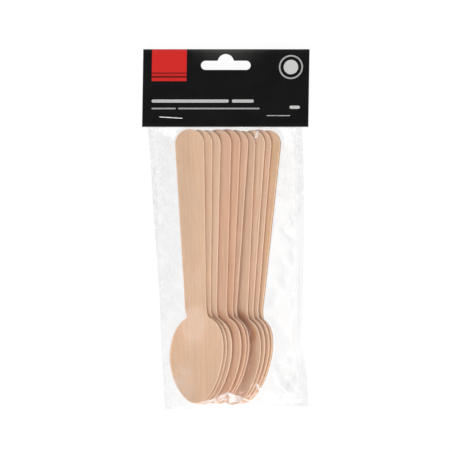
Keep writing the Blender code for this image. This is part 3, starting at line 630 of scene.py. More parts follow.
def fine_spoon(name, pose, mat, seed):
    """One stamped and pressed veneer spoon with softened edges."""
    rng = np.random.default_rng(100 + seed)
    r = HANDLE_END_R
    ends = r * (1 - np.cos(np.linspace(0, math.pi / 2, 15)[1:]))
    shaft = np.linspace(r, 86.0, 24)[1:]
    neck = np.linspace(86.0, 106.0, 24)[1:]
    bowl = np.linspace(106.0, 128.0, 20)[1:]
    tip_t = np.linspace(math.asin((128.0 - BOWL_WIDEST_AT) / BOWL_DOWN), math.pi / 2, 26)[1:-1]
    tip = BOWL_WIDEST_AT + BOWL_DOWN * np.sin(tip_t)
    rows = np.concatenate([ends, shaft, neck, bowl, tip])
    width = half_width(rows)
    # The outline's right side with its outward directions, handle end to tip.
    step = 0.02
    slope = (half_width(np.clip(rows + step, 0, SPOON_LENGTH)) -
             half_width(np.clip(rows - step, 0, SPOON_LENGTH))) / (2 * step)
    out_u, out_s = np.ones_like(rows), -slope
    length = np.hypot(out_u, out_s)
    out_u, out_s = out_u / length, out_s / length
    # A stamped edge is never quite even.
    ragged = 0.035 * np.sin(rows * 1.9 + rng.uniform(0, 6)) * np.sin(rows * 0.37 + rng.uniform(0, 6))
    width = width + ragged
    soft = 0.20
    across = 20
    n = len(rows)
    spread_u = np.sin(np.linspace(-math.pi / 2, math.pi / 2, across + 1))
    spread_u = 0.55 * spread_u + 0.45 * np.linspace(-1, 1, across + 1)
    inner_u = width - soft * out_u
    inner_s = rows - soft * out_s
    top_u = inner_u[:, None] * spread_u[None, :]
    top_s = np.repeat(inner_s[:, None], across + 1, 1)

    points, rims, faces = [], [], []

    def add(u, s, w, rim):
        points.append((u + float(lean(s)), TOP_STATION - s, w))
        rims.append(rim)
        return len(points) - 1

    def height(u, s):
        return float(dish(np.float64(u) + lean(s), np.float64(s)))

    top = [[add(top_u[j, i], top_s[j, i], height(top_u[j, i], top_s[j, i]),
                0.35 if i in (0, across) else 0.0)
            for i in range(across + 1)] for j in range(n)]
    low = [[add(top_u[j, i], top_s[j, i], height(top_u[j, i], top_s[j, i]) - SPOON_THICK, 0.0)
            for i in range(across + 1)] for j in range(n)]
    end_top = add(0, soft, height(0, soft), 0.0)
    end_low = add(0, soft, height(0, soft) - SPOON_THICK, 0.0)
    tip_top = add(0, SPOON_LENGTH - soft, height(0, SPOON_LENGTH - soft), 0.0)
    tip_low = add(0, SPOON_LENGTH - soft, height(0, SPOON_LENGTH - soft) - SPOON_THICK, 0.0)
    # Rings round the edge: outwards, down the side and back in.
    profile = [(-soft + soft * math.sin(math.radians(a)), -soft + soft * math.cos(math.radians(a)), v)
               for a, v in ((30, 0.2), (60, 0.7), (90, 1.0))]
    profile += [(0.02, -SPOON_THICK / 2, 1.0)]
    profile += [(-soft + soft * math.cos(math.radians(a)),
                 -SPOON_THICK + soft - soft * math.sin(math.radians(a)), v)
                for a, v in ((0, 1.0), (30, 0.7), (60, 0.2))]
    loop = [(0.0, 0.0, 0.0, -1.0)]
    loop += [(width[j], rows[j], out_u[j], out_s[j]) for j in range(n)]
    loop += [(0.0, SPOON_LENGTH, 0.0, 1.0)]
    loop += [(-width[j], rows[j], -out_u[j], out_s[j]) for j in range(n - 1, -1, -1)]
    rings = [[end_top] + [top[j][across] for j in range(n)] + [tip_top]
             + [top[j][0] for j in range(n - 1, -1, -1)]]
    for out, down, rim in profile:
        ring = []
        for u, s, nu, ns in loop:
            pu, ps = u + nu * out, s + ns * out
            w = height(u - nu * soft, s - ns * soft) * 0.5 + height(u, s) * 0.5
            ring.append(add(pu, ps, w + down, rim))
        rings.append(ring)
    rings.append([end_low] + [low[j][across] for j in range(n)] + [tip_low]
                 + [low[j][0] for j in range(n - 1, -1, -1)])
    for j in range(n - 1):
        for i in range(across):
            faces.append((top[j][i], top[j][i + 1], top[j + 1][i + 1], top[j + 1][i]))
            faces.append((low[j][i], low[j + 1][i], low[j + 1][i + 1], low[j][i + 1]))
    for i in range(across):
        faces.append((end_top, top[0][i + 1], top[0][i]))
        faces.append((end_low, low[0][i], low[0][i + 1]))
        faces.append((tip_top, top[n - 1][i], top[n - 1][i + 1]))
        faces.append((tip_low, low[n - 1][i + 1], low[n - 1][i]))
    size = len(loop)
    for a, b in zip(rings[:-1], rings[1:]):
        for i in range(size):
            k = (i + 1) % size
            faces.append((a[i], a[k], b[k], b[i]))
    own = np.array(points)
    mesh = mesh_from(name, own @ axes_of(pose).T + [pose["x"], pose["y"], pose["z"]], faces)
    bm = bmesh.new()
    bm.from_mesh(mesh)
    bmesh.ops.recalc_face_normals(bm, faces=bm.faces)
    bm.to_mesh(mesh)
    bm.free()
    give_attribute(mesh, "rim", rims)
    give_own(mesh, own)
    mesh.shade_smooth()
    return new_object(name, mesh, [mat])


# ----------------------------------------------------------------- film pouch
def spread(grid, reach):
    for axis in (0, 1):
        out = grid.copy()
        for shift in range(1, reach[axis] + 1):
            for sign in (1, -1):
                moved = np.roll(grid, sign * shift, axis)
                edge = [slice(None)] * 2
                edge[axis] = slice(0, shift) if sign > 0 else slice(-shift, None)
                moved[tuple(edge)] = -1e9
                out = np.maximum(out, moved)
        grid = out
    return grid


def pouch_xy(across, along):
    side_y = np.array(SIDE_Y)[::-1]
    bottom = BOTTOM_LEFT_Y + (BOTTOM_RIGHT_Y - BOTTOM_LEFT_Y) * across
    y = SIDE_Y[0] + (bottom - SIDE_Y[0]) * along
    left = np.interp(y, side_y, np.array(SIDE_LEFT)[::-1])
    right = np.interp(y, side_y, np.array(SIDE_RIGHT)[::-1])
    return left + (right - left) * across, y


def drape(poses):
    """Front and back sheets pulled tight over the pile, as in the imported
    model, with the height that the spoons hold them at."""
    na, nl = 98, 340
    across, along = np.meshgrid(np.linspace(0, 1, na + 1), np.linspace(0, 1, nl + 1))
    x, y = pouch_xy(across, along)
    top = np.full(x.shape, -1e9)
    under = np.full(x.shape, 1e9)
    for pose in poses:
        face, _ = face_height(pose, x, y)
        top = np.fmax(top, face)
        face, _ = face_height(pose, x, y, SPOON_THICK)
        under = np.fmin(under, face)
    top = spread(top, (1, 1)) + FILM_CLEAR + FILM
    under = -spread(-under, (1, 1)) - FILM_CLEAR - FILM
    edge = np.minimum(np.minimum(across, 1 - across) / 0.06, 1.0)
    lift = SIDE_LIFT + (BOTTOM_LIFT - SIDE_LIFT) * np.clip((along - 0.86) / 0.14, 0, 1)
    start_front = CARD_MID_Z + 0.92 * FRONT_FLARE
    start_back = CARD_MID_Z - 0.92 * BACK_FLARE
    row = CARD_MID_Z + (start_front - CARD_MID_Z) * np.clip(edge[0] * 2, 0, 1)
    row_b = CARD_MID_Z + (start_back - CARD_MID_Z) * np.clip(edge[0] * 2, 0, 1)
    side = CARD_MID_Z + (lift - CARD_MID_Z) * np.clip(along / 0.10, 0, 1)
    front = np.maximum(np.where(top > 0, top, side), side)
    back = np.zeros_like(front)
    hy = (x[1:-1, 2:] - x[1:-1, :-2]) / 2
    hx = np.abs(y[2:, 1:-1] - y[:-2, 1:-1]) / 2
    wx, wy = 1 / hy ** 2, 1 / hx ** 2
    total = 2 * (wx + wy)
    load = 0.010
    for _ in range(1400):
        for film, sign in ((front, 1), (back, -1)):
            film[:, 0] = film[:, -1] = side[:, 0]
            film[0] = row if sign > 0 else row_b
            film[-1] = BOTTOM_LIFT
            mean = (wx * (film[1:-1, 2:] + film[1:-1, :-2])
                    + wy * (film[2:, 1:-1] + film[:-2, 1:-1])) / total
            if sign > 0:
                film[1:-1, 1:-1] = np.maximum(mean, top[1:-1, 1:-1])
            else:
                held = np.minimum(mean - load / total * 4, under[1:-1, 1:-1])
                film[1:-1, 1:-1] = np.maximum(held, 0.0)
    return across, along, front, back, top


def finer(grid, axis):
    """Twice as many cells along one axis, through the same points, smooth."""
    g = np.moveaxis(grid, axis, 0)
    before = np.concatenate([2 * g[:1] - g[1:2], g[:-2]])
    after = np.concatenate([g[2:], 2 * g[-1:] - g[-2:-1]])
    middle = (9 * (g[:-1] + g[1:]) - before - after) / 16
    out = np.empty((2 * g.shape[0] - 1, *g.shape[1:]))
    out[0::2], out[1::2] = g, middle
    return np.moveaxis(out, 0, axis)


def smooth_step(v, low, high):
    t = np.clip((v - low) / (high - low), 0, 1)
    return t * t * (3 - 2 * t)


def waves(x, y, seed, count, short, long_, lean=0.0, narrow=1.0):
    """Smooth unevenness between about -1 and 1, the same each run."""
    rng = np.random.default_rng(seed)
    total = np.zeros_like(x)
    for _ in range(count):
        a = lean + rng.normal() * narrow
        length = rng.uniform(short, long_)
        k = 2 * math.pi / length
        total += np.sin(k * (x * math.cos(a) + y * math.sin(a)) + rng.uniform(0, 2 * math.pi))
    return total / math.sqrt(count / 2) / 1.6


def folded(x, y, seed, count, short, long_):
    """Flat facets between sharp creases: folded waves in several directions."""
    rng = np.random.default_rng(seed)
    total = np.zeros_like(x)
    for i in range(count):
        a = math.pi * (i + rng.uniform(0.1, 0.9)) / count
        length = rng.uniform(short, long_)
        t = (x * math.cos(a) + y * math.sin(a)) / length + rng.uniform(0, 1)
        total += np.abs(t - np.floor(t) - 0.5) * 2 * length
    total = total / count
    return total - total.mean()


def fold_lines(x, y, seed, count, short, long_):
    """How far each point is from the nearest crease of those facets."""
    rng = np.random.default_rng(seed)
    near = np.full_like(x, 99.0)
    for i in range(count):
        a = math.pi * (i + rng.uniform(0.1, 0.9)) / count
        length = rng.uniform(short, long_)
        t = (x * math.cos(a) + y * math.sin(a)) / length + rng.uniform(0, 1)
        part = np.abs(t - np.floor(t) - 0.5) * 2
        near = np.minimum(near, np.minimum(part, 1 - part) * length / 2)
    return near


def crease(x, y, ends, height, width, sharp=True):
    """A ridge along a line, fading at its ends."""
    (x0, y0), (x1, y1) = ends
    dx, dy = x1 - x0, y1 - y0
    size = math.hypot(dx, dy)
    t = ((x - x0) * dx + (y - y0) * dy) / size ** 2
    off = np.abs((x - x0) * dy - (y - y0) * dx) / size
    fade = smooth_step(t, -0.05, 0.25) * smooth_step(1 - t, -0.05, 0.25)
    body = np.clip(1 - off / width, 0, 1) if sharp else np.exp(-(off / width) ** 2)
    return height * fade * body


def blob(x, y, cx, cy, rx, ry):
    d = ((x - cx) / rx) ** 2 + ((y - cy) / ry) ** 2
    return smooth_step(1.25 - d, 0.0, 1.0)


def film_pouch(poses):
    across, along, front, back, top = drape(poses)
    front = finer(front, 1)
    top = np.repeat(top, 2, axis=1)[:, :front.shape[1]]
    top = spread(top, (0, 1))
    nf, nl = front.shape[1] - 1, front.shape[0] - 1
    ua, va = np.meshgrid(np.linspace(0, 1, nf + 1), np.linspace(0, 1, nl + 1))
    x, y = pouch_xy(ua, va)
    left, _ = pouch_xy(np.zeros_like(va), va)
    right, _ = pouch_xy(np.ones_like(va), va)
    from_left, from_right = x - left, right - x
    _, low_y = pouch_xy(ua, np.ones_like(va))
    from_low = y - low_y
    from_side = np.minimum(from_left, from_right)
    free = smooth_step(front - top, 0.3, 2.5)
    haze_and_painted_glare = np.zeros_like(x)

    # Slack: long soft waves where nothing holds the film, none at the welds.
    inner = smooth_step(np.minimum(from_side, from_low), 0.8, 6.0) * smooth_step(52.0 - y, 0.0, 5.0)
    front = front + 0.22 * free * inner * waves(x, y, 5, 14, 9.0, 26.0)
    front = front + 0.05 * inner * waves(x, y, 6, 14, 5.0, 12.0)
    # Puckers beside the side welds.
    pucker = np.exp(-((from_side - 3.2) / 2.4) ** 2) * smooth_step(50.0 - y, 0.0, 8.0)
    front = front + 0.16 * pucker * waves(x * 0.25, y, 7, 10, 4.0, 11.0, math.pi / 2, 0.25)

    # Crumples: over the tips, and at the lower corners.
    ridge = np.interp(x, (-15.0, -11.6, -6.0, 1.6, 8.0, 13.4, 16.0),
                      (-88.2, -87.2, -85.6, -82.3, -85.4, -87.2, -88.6))
    ridge = ridge + 0.30 * waves(x, y * 0.0, 41, 6, 3.5, 9.0)
    tent = np.interp(x, (-14.0, -9.0, 1.6, 9.0, 15.0), (0.0, 0.7, 1.9, 0.9, 0.0))
    behind = np.clip(1 - (y - ridge) / 0.9, 0, 1)
    before = np.clip(1 - (ridge - y) / 6.5, 0, 1)
    shape = tent * np.where(y > ridge, behind, before)
    facets = folded(x, y, 21, 5, 3.0, 6.0)
    zone = smooth_step(shape, 0.05, 0.6)
    front = front + shape + 0.60 * zone * (facets - facets.min() * 0.15)
    corner = blob(x, y, -29.5, -86.0, 5.5, 9.0)
    front = front + 0.5 * corner * folded(x, y, 22, 3, 5.0, 9.0)
    corner = blob(x, y, 34.0, -85.0, 9.0, 9.0)
    front = front + 0.28 * corner * folded(x, y, 23, 3, 8.0, 14.0)

    # Single creases.
    for ends, height, width in (
            (((-35.6, 28.6), (-27.5, 28.0)), 0.14, 0.8),
            (((-29.6, -28.0), (-25.8, -31.5)), 0.6, 0.9),
            (((27.0, 1.5), (38.9, -9.5)), 0.7, 1.2),
            (((30.0, 12.0), (36.5, 1.0)), 0.35, 1.0),
            (((24.0, -76.0), (38.0, -88.0)), 0.6, 1.3),
            (((-31.0, -60.0), (-26.0, -74.0)), 0.4, 1.2),
            (((12.5, -78.0), (17.5, -84.0)), 0.8, 1.0),
            (((16.7, 50.6), (14.8, 46.0)), 0.5, 0.9),
            (((37.2, 36.0), (37.2, -57.0)), 0.12, 0.55)):
        front = front + crease(x, y, ends, height, width)

    # Keep clear of the wood and inside the pack's height.
    front = np.maximum(front, top - 0.12)
    front = np.minimum(front, TOP_LIMIT)

    # Where the film looks greyer: the loose left side, the upper right, the
    # lower right corner, and a fold line down the right side.
    patchy = 0.5 + 0.5 * waves(x, y, 31, 16, 4.0, 16.0)
    tint = 0.20 + 0.56 * np.exp(-from_left / 8.0)
    tint = tint * smooth_step(-12.0 - x, 0.0, 9.0) * (0.62 + 0.38 * smooth_step(y, -40.0, 20.0))
    tint = tint + 0.34 * smooth_step(x, 24.0, 30.0) * smooth_step(y, -8.0, 22.0)
    tint = tint + 0.19 * smooth_step(x, 20.0, 26.0) * smooth_step(y, -60.0, -40.0)
    wedge = smooth_step(x - 30.0 + (y + 92.0) * 0.28, 0.0, 3.0) * smooth_step(-y, 62.0, 72.0)
    tint = tint + 0.44 * wedge
    tint = tint + 0.08 * smooth_step(free, 0.3, 1.0)
    tint = tint * (0.65 + 0.5 * patchy)
    line = np.exp(-((x - 37.2) / 0.55) ** 2) * smooth_step(y, -60.0, -50.0) * smooth_step(36.0 - y, 0.0, 8.0)
    tint = tint + 0.30 * line * (0.4 + 0.6 * patchy)
    tint = np.clip(tint, 0, 1)
    # Painted soft reflections, laid on as milky white: over the neck and the upper and lower left of the top
    # bowl, by the card's edge, and in the crumples.
    slant = (y + 55.0) - 0.9 * (x + 17.0)
    patch = blob(x, y, -16.0, -49.5, 7.0, 11.0) * (0.35 + 0.65 * smooth_step(slant, -6.0, -1.0))
    haze_and_painted_glare = haze_and_painted_glare + 0.17 * patch
    slant = (y + 22.0) - 1.3 * (x + 16.0)
    haze_and_painted_glare = haze_and_painted_glare + 0.07 * blob(x, y, -15.5, -19.0, 6.0, 10.0) * smooth_step(-slant, -1.5, 1.5)
    haze_and_painted_glare = haze_and_painted_glare + 0.18 * blob(x, y, -21.5, -77.0, 7.5, 10.0) * (0.4 + 0.6 * patchy)
    haze_and_painted_glare = haze_and_painted_glare + 0.10 * smooth_step(y, 48.5, 50.5) * smooth_step(53.5 - y, 0.0, 1.0)
    haze_and_painted_glare = haze_and_painted_glare + 0.13 * blob(x, y, -30.0, -86.0, 4.5, 8.0) * patchy
    # Painted glare: crumpled film is painted white where its facets turn to the lower right, towards the low
    # lamp.
    rise_x = np.gradient(front, axis=1) / np.gradient(x, axis=1)
    rise_y = np.gradient(front, axis=0) / np.gradient(y, axis=0)
    turned = np.exp(-((rise_x + 0.25) ** 2 + (rise_y - 0.60) ** 2) / 0.45 ** 2)
    lit = 0.85 * zone * (0.10 + 0.90 * turned ** 1.5) * (1 - 0.65 * smooth_step(x, 6.5, 11.0))
    held = smooth_step(tent, 0.03, 0.35)
    lit = np.maximum(lit, 0.95 * held * np.exp(-((y - ridge + 0.25) / 0.45) ** 2))
    fin = smooth_step(ridge - y, -0.2, 0.3) * smooth_step(x, 1.2, 1.8)
    fin = fin * smooth_step(y + 88.3 - 0.16 * (x - 1.6), -0.3, 0.5) * smooth_step(8.6 - x, 0.0, 1.5)
    lit = np.maximum(lit, fin * (0.75 + 0.25 * patchy))
    fin = smooth_step(ridge - y, -0.2, 0.3) * smooth_step(-0.2 - x, 0.0, 0.5)
    fin = fin * smooth_step(y - ridge + 1.2 + 0.05 * (x + 12.0), -0.2, 0.4) * smooth_step(x, -12.0, -9.0)
    lit = np.maximum(lit, fin * (0.60 + 0.30 * patchy))
    lit = lit * (1 - 0.85 * np.exp(-((x - 0.7) / 0.45) ** 2) * smooth_step(ridge - y, 0.4, 1.0))
    lit = lit * (0.60 + 0.40 * smooth_step(fold_lines(x, y, 21, 5, 3.0, 6.0), 0.0, 0.22))
    haze_and_painted_glare = haze_and_painted_glare + lit
    # Two painted glints along creases: by the handles' ends and by the lowest spoon's bowl.
    haze_and_painted_glare = haze_and_painted_glare + crease(x, y, ((16.7, 50.6), (14.8, 46.0)), 1.0, 1.1)
    haze_and_painted_glare = haze_and_painted_glare + crease(x, y, ((15.4, -77.8), (18.4, -83.4)), 1.0, 1.0)
    haze_and_painted_glare = np.clip(haze_and_painted_glare, 0, 1)

    # The back sheet, coarser.
    back = back[::2, ::2]
    nb, ml = back.shape[1] - 1, back.shape[0] - 1
    ub, vb = np.meshgrid(np.linspace(0, 1, nb + 1), np.linspace(0, 1, ml + 1))
    xb, yb = pouch_xy(ub, vb)
    lb, _ = pouch_xy(np.zeros_like(vb), vb)
    rb, _ = pouch_xy(np.ones_like(vb), vb)
    side_b = np.minimum(xb - lb, rb - xb)

    points, weld, haze_and_glare_values, tints, faces = [], [], [], [], []

    def add(px, py, pz, w, h, g):
        points.append((px, py, pz))
        weld.append(w)
        haze_and_glare_values.append(h)
        tints.append(g)
        return len(points) - 1

    # Flanges: close to each weld both sheets lie on their middle.
    flange_left, flange_right, flange_low = 1.9, 2.5, 1.5
    middle_f = front.copy()
    back_on_front = finer(finer(back, 1), 0)
    back_fine = finer(back_on_front, 1)[:nl + 1, :nf + 1]
    middle_f = (front + back_fine) / 2

    def apart(dl, dr, db):
        gl = smooth_step(dl, flange_left, flange_left + 2.0)
        gr = smooth_step(dr, flange_right, flange_right + 2.0)
        gb = smooth_step(db, flange_low, flange_low + 1.2)
        return gl * gr * gb

    open_f = apart(from_left, from_right, from_low)
    mouth_open = smooth_step(52.0 - y, 0.0, 3.0)
    mid_f = middle_f[:, :1] * 0 + np.where(True, middle_f, 0)
    flat = np.minimum(mid_f, front)
    front_z = np.where(open_f < 1, flat + (front - flat) * open_f, front)
    gap = 0.07
    front_z = np.maximum(front_z, flat + gap)
    front_z = front_z * 1.0
    weld_f = 1 - np.minimum(np.minimum(smooth_step(from_left, flange_left - 0.25, flange_left + 0.25),
                                       smooth_step(from_right, flange_right - 0.25, flange_right + 0.25)),
                            smooth_step(from_low, flange_low - 0.25, flange_low + 0.25))

    _, low_b = pouch_xy(ub, np.ones_like(vb))
    open_b = apart(xb - lb, rb - xb, yb - low_b)
    mid_b = middle_f[::2, ::4]
    back_z = np.where(open_b < 1, mid_b + (back - mid_b) * open_b, back)
    back_z = np.minimum(back_z, mid_b - gap)
    back_z = np.maximum(back_z, 0.0)
    weld_b = 1 - np.minimum(smooth_step(side_b, 1.6, 2.4), smooth_step(yb - low_b, 1.2, 1.8))

    # The mouth, flat between the card's leaves.
    edge_y = CARD_TOP_Y - CARD_LEAF
    hold = FILM_GAP / 2 + FILM
    mouth = [POUCH_MOUTH_Y, 72.0, 67.0, 62.0, 58.5] + \
        [edge_y + FLARE_START * t for t in (1.0, 0.8, 0.6, 0.4, 0.2)]

    def mouth_rows(columns, sign):
        rows = []
        for my in mouth:
            opened = (1 - min((my - edge_y) / FLARE_START, 1)) ** 2
            opened *= 0.90 * (FRONT_FLARE if sign > 0 else BACK_FLARE)
            row = []
            for u in columns:
                near = min(u, 1 - u)
                part = opened * min(near / 0.03, 1.0)
                side = 0.07 + (hold - 0.07) * min(near / 0.03, 1.0)
                row.append(add(-POUCH_FLAT_HALF + 2 * POUCH_FLAT_HALF * u, my,
                               CARD_MID_Z + sign * (side + part),
                               1.0 if near < 0.028 else 0.0, 0.0, 0.0))
            rows.append(row)
        return rows

    columns_f, columns_b = np.linspace(0, 1, nf + 1), np.linspace(0, 1, nb + 1)
    front_rows = mouth_rows(columns_f, 1)
    for j in range(nl + 1):
        if j % 2 and y[j, 0] > -70.0:
            continue
        front_rows.append([add(x[j, i], y[j, i], front_z[j, i], weld_f[j, i], haze_and_painted_glare[j, i],
                               tint[j, i])
                           for i in range(nf + 1)])
    back_rows = mouth_rows(columns_b, -1)
    for j in range(ml + 1):
        back_rows.append([add(xb[j, i], yb[j, i], back_z[j, i], weld_b[j, i], 0.0, 0.04)
                          for i in range(nb + 1)])
    for rows, width in ((front_rows, nf), (back_rows, nb)):
        for a, b in zip(rows[:-1], rows[1:]):
            for i in range(width):
                faces.append((a[i], a[i + 1], b[i + 1], b[i]))
    # The two sheets meet along the sides and the bottom.
    def stitch(one, two):
        """Faces between two lines of points that run the same way."""
        where = np.array(points)
        i = j = 0
        while i < len(one) - 1 or j < len(two) - 1:
            a = i + 1 < len(one)
            b = j + 1 < len(two)
            if a and b:
                da = np.linalg.norm(where[one[i + 1]] - where[two[j]])
                db = np.linalg.norm(where[two[j + 1]] - where[one[i]])
                a, b = da <= db, da > db
            if a:
                faces.append((one[i], one[i + 1], two[j]))
                i += 1
            else:
                faces.append((one[i], two[j + 1], two[j]))
                j += 1

    stitch([r[0] for r in front_rows], [r[0] for r in back_rows])
    stitch([r[-1] for r in front_rows], [r[-1] for r in back_rows])
    stitch(front_rows[-1], back_rows[-1])
    mesh = mesh_from("film_pouch", points, faces)
    bm = bmesh.new()
    bm.from_mesh(mesh)
    bmesh.ops.recalc_face_normals(bm, faces=bm.faces)
    bm.faces.ensure_lookup_table()
    if bm.faces[(len(mouth) + 60) * nf + nf // 2].normal.z < 0:
        bmesh.ops.reverse_faces(bm, faces=bm.faces)
    bm.to_mesh(mesh)
    bm.free()
    give_attribute(mesh, "weld", weld)
    give_attribute(mesh, "haze_and_painted_glare", haze_and_glare_values)
    give_attribute(mesh, "tint", tints)
    mesh.shade_smooth()
    obj = new_object("film_pouch", mesh, [film_material(), film_inside_material()])
    shell = obj.modifiers.new("thickness", "SOLIDIFY")
    shell.thickness = 0.045 * MM
    shell.offset = -1.0
    shell.material_offset = 1
    shell.material_offset_rim = 0
    obj.visible_shadow = False
    return obj


# ---------------------------------------------------------------- header card
def card_profile():
    half = FILM + FILM_GAP * 1.5 + CARD_THICK / 2
    low = CARD_TOP_Y - CARD_LEAF
    line = []
    steps = 8
    for i in range(steps + 1):
        t = i / steps
        line.append((low + FLARE_START * t, CARD_MID_Z - half - BACK_FLARE * (1 - t) ** 2))
    fold_y = CARD_TOP_Y - half - CARD_THICK / 2
    start = low + FLARE_START
    for i in range(1, 20):
        line.append((start + (fold_y - start) * i / 20, CARD_MID_Z - half))
    for i in range(19):
        a = -math.pi / 2 + math.pi * i / 18
        line.append((fold_y + half * math.cos(a), CARD_MID_Z + half * math.sin(a)))
    for i in range(19, 0, -1):
        line.append((start + (fold_y - start) * i / 20, CARD_MID_Z + half))
    for i in range(steps + 1):
        t = 1 - i / steps
        line.append((low + FLARE_START * t, CARD_MID_Z + half + FRONT_FLARE * (1 - t) ** 2))
    return line


def slot_outline():
    width, height = SLOT_BAR
    r = height / 2
    points = []
    for i in range(21):
        a = -math.pi / 2 + math.pi * i / 20
        points.append((width / 2 - r + r * math.cos(a), r * math.sin(a)))
    below = SLOT_RISE_R - SLOT_RISE
    fillet = SLOT_FILLET
    foot = math.sqrt((SLOT_RISE_R + fillet) ** 2 - (below + fillet) ** 2)
    meet = math.degrees(math.atan2(below + fillet, foot))
    right = []
    for i in range(7):
        a = math.radians(270 - (90 - meet) * i / 6)
        right.append((foot + fillet * math.cos(a), r + fillet + fillet * math.sin(a)))
    for i in range(1, 19):
        a = math.radians(meet + (90 - meet) * i / 18)
        right.append((SLOT_RISE_R * math.cos(a), r - below + SLOT_RISE_R * math.sin(a)))
    points += right
    points += [(-x, y) for x, y in reversed(right[:-1])]
    for i in range(21):
        a = math.pi / 2 + math.pi * i / 20
        points.append((-width / 2 + r + r * math.cos(a), r * math.sin(a)))
    return points


def slot_cutter(mat):
    outline = slot_outline()
    n = len(outline)
    points = [(x, SLOT_Y + y, CARD_MID_Z - 4.0) for x, y in outline]
    points += [(x, SLOT_Y + y, CARD_MID_Z + 4.0) for x, y in outline]
    faces = [tuple(range(n - 1, -1, -1)), tuple(range(n, 2 * n))]
    faces += [(i, (i + 1) % n, n + (i + 1) % n, n + i) for i in range(n)]
    mesh = mesh_from("slot_cutter", points, faces)
    bm = bmesh.new()
    bm.from_mesh(mesh)
    bmesh.ops.remove_doubles(bm, verts=bm.verts, dist=1e-7)
    bmesh.ops.recalc_face_normals(bm, faces=bm.faces)
    bm.to_mesh(mesh)
    bm.free()
    return new_object("slot_cutter", mesh, [mat])


def header_card():
    profile = card_profile()
    middle = CARD_TOP_Y - CARD_LEAF / 2
    stations = np.linspace(-CARD_WIDTH / 2, CARD_WIDTH / 2, 57)
    n = len(profile)
    line = np.array(profile)
    points = []
    for x in stations:
        for k, (y, z) in enumerate(line):
            px = x + (y - middle) * math.tan(CARD_LEAN)
            sign = 1.0 if z > CARD_MID_Z else -1.0
            held = smooth_step(np.array(y), CARD_TOP_Y - CARD_LEAF, CARD_TOP_Y - CARD_LEAF + 6.0)
            held = float(held) * float(smooth_step(np.array(CARD_TOP_Y - y), 0.5, 4.0))
            dz = 0.03 * held * math.sin(px * 0.17 + 0.8) * math.sin(y * 0.21 + 1.1)
            for sx, sy, _ in STAPLES.values():
                d = ((px - sx) / 7.5) ** 2 + ((y - sy) / 2.2) ** 2
                dz -= sign * 0.05 * math.exp(-d)
            points.append((px, y, z + dz))
    faces = [(i * n + j, i * n + j + 1, (i + 1) * n + j + 1, (i + 1) * n + j)
             for i in range(len(stations) - 1) for j in range(n - 1)]
    mesh = mesh_from("card", points, faces)
    if mesh.polygons[n - 5].normal.z < 0:
        mesh.flip_normals()
    cut_edge = board_material("board_cut", (0.34, 0.325, 0.30), (0.17, 0.16, 0.15))
    inside = board_material("board_inside", (0.62, 0.60, 0.56), (0.48, 0.46, 0.42))
    card = new_object("card", mesh, [card_material(), inside, cut_edge])
    shell = card.modifiers.new("thickness", "SOLIDIFY")
    shell.thickness = CARD_THICK * MM
    shell.offset = 0.0
    shell.use_even_offset = True
    shell.material_offset = 1
    shell.material_offset_rim = 2
    cutter = slot_cutter(cut_edge)
    cut = card.modifiers.new("slot", "BOOLEAN")
    cut.operation = "DIFFERENCE"
    cut.solver = "EXACT"
    cut.material_mode = "TRANSFER"
    cut.object = cutter
    soft = card.modifiers.new("soft edges", "BEVEL")
    soft.width = 0.05 * MM
    soft.segments = 2
    soft.limit_method = "ANGLE"
    soft.angle_limit = math.radians(60)
    bpy.context.view_layer.update()
    graph = bpy.context.evaluated_depsgraph_get()
    made = bpy.data.meshes.new_from_object(card.evaluated_get(graph))
    for obj in (card, cutter):
        bpy.data.objects.remove(obj, do_unlink=True)
    made.name = "header_card_print"
    made.shade_smooth()
    made.set_sharp_from_angle(angle=math.radians(40))
    return new_object("header_card_print", made)


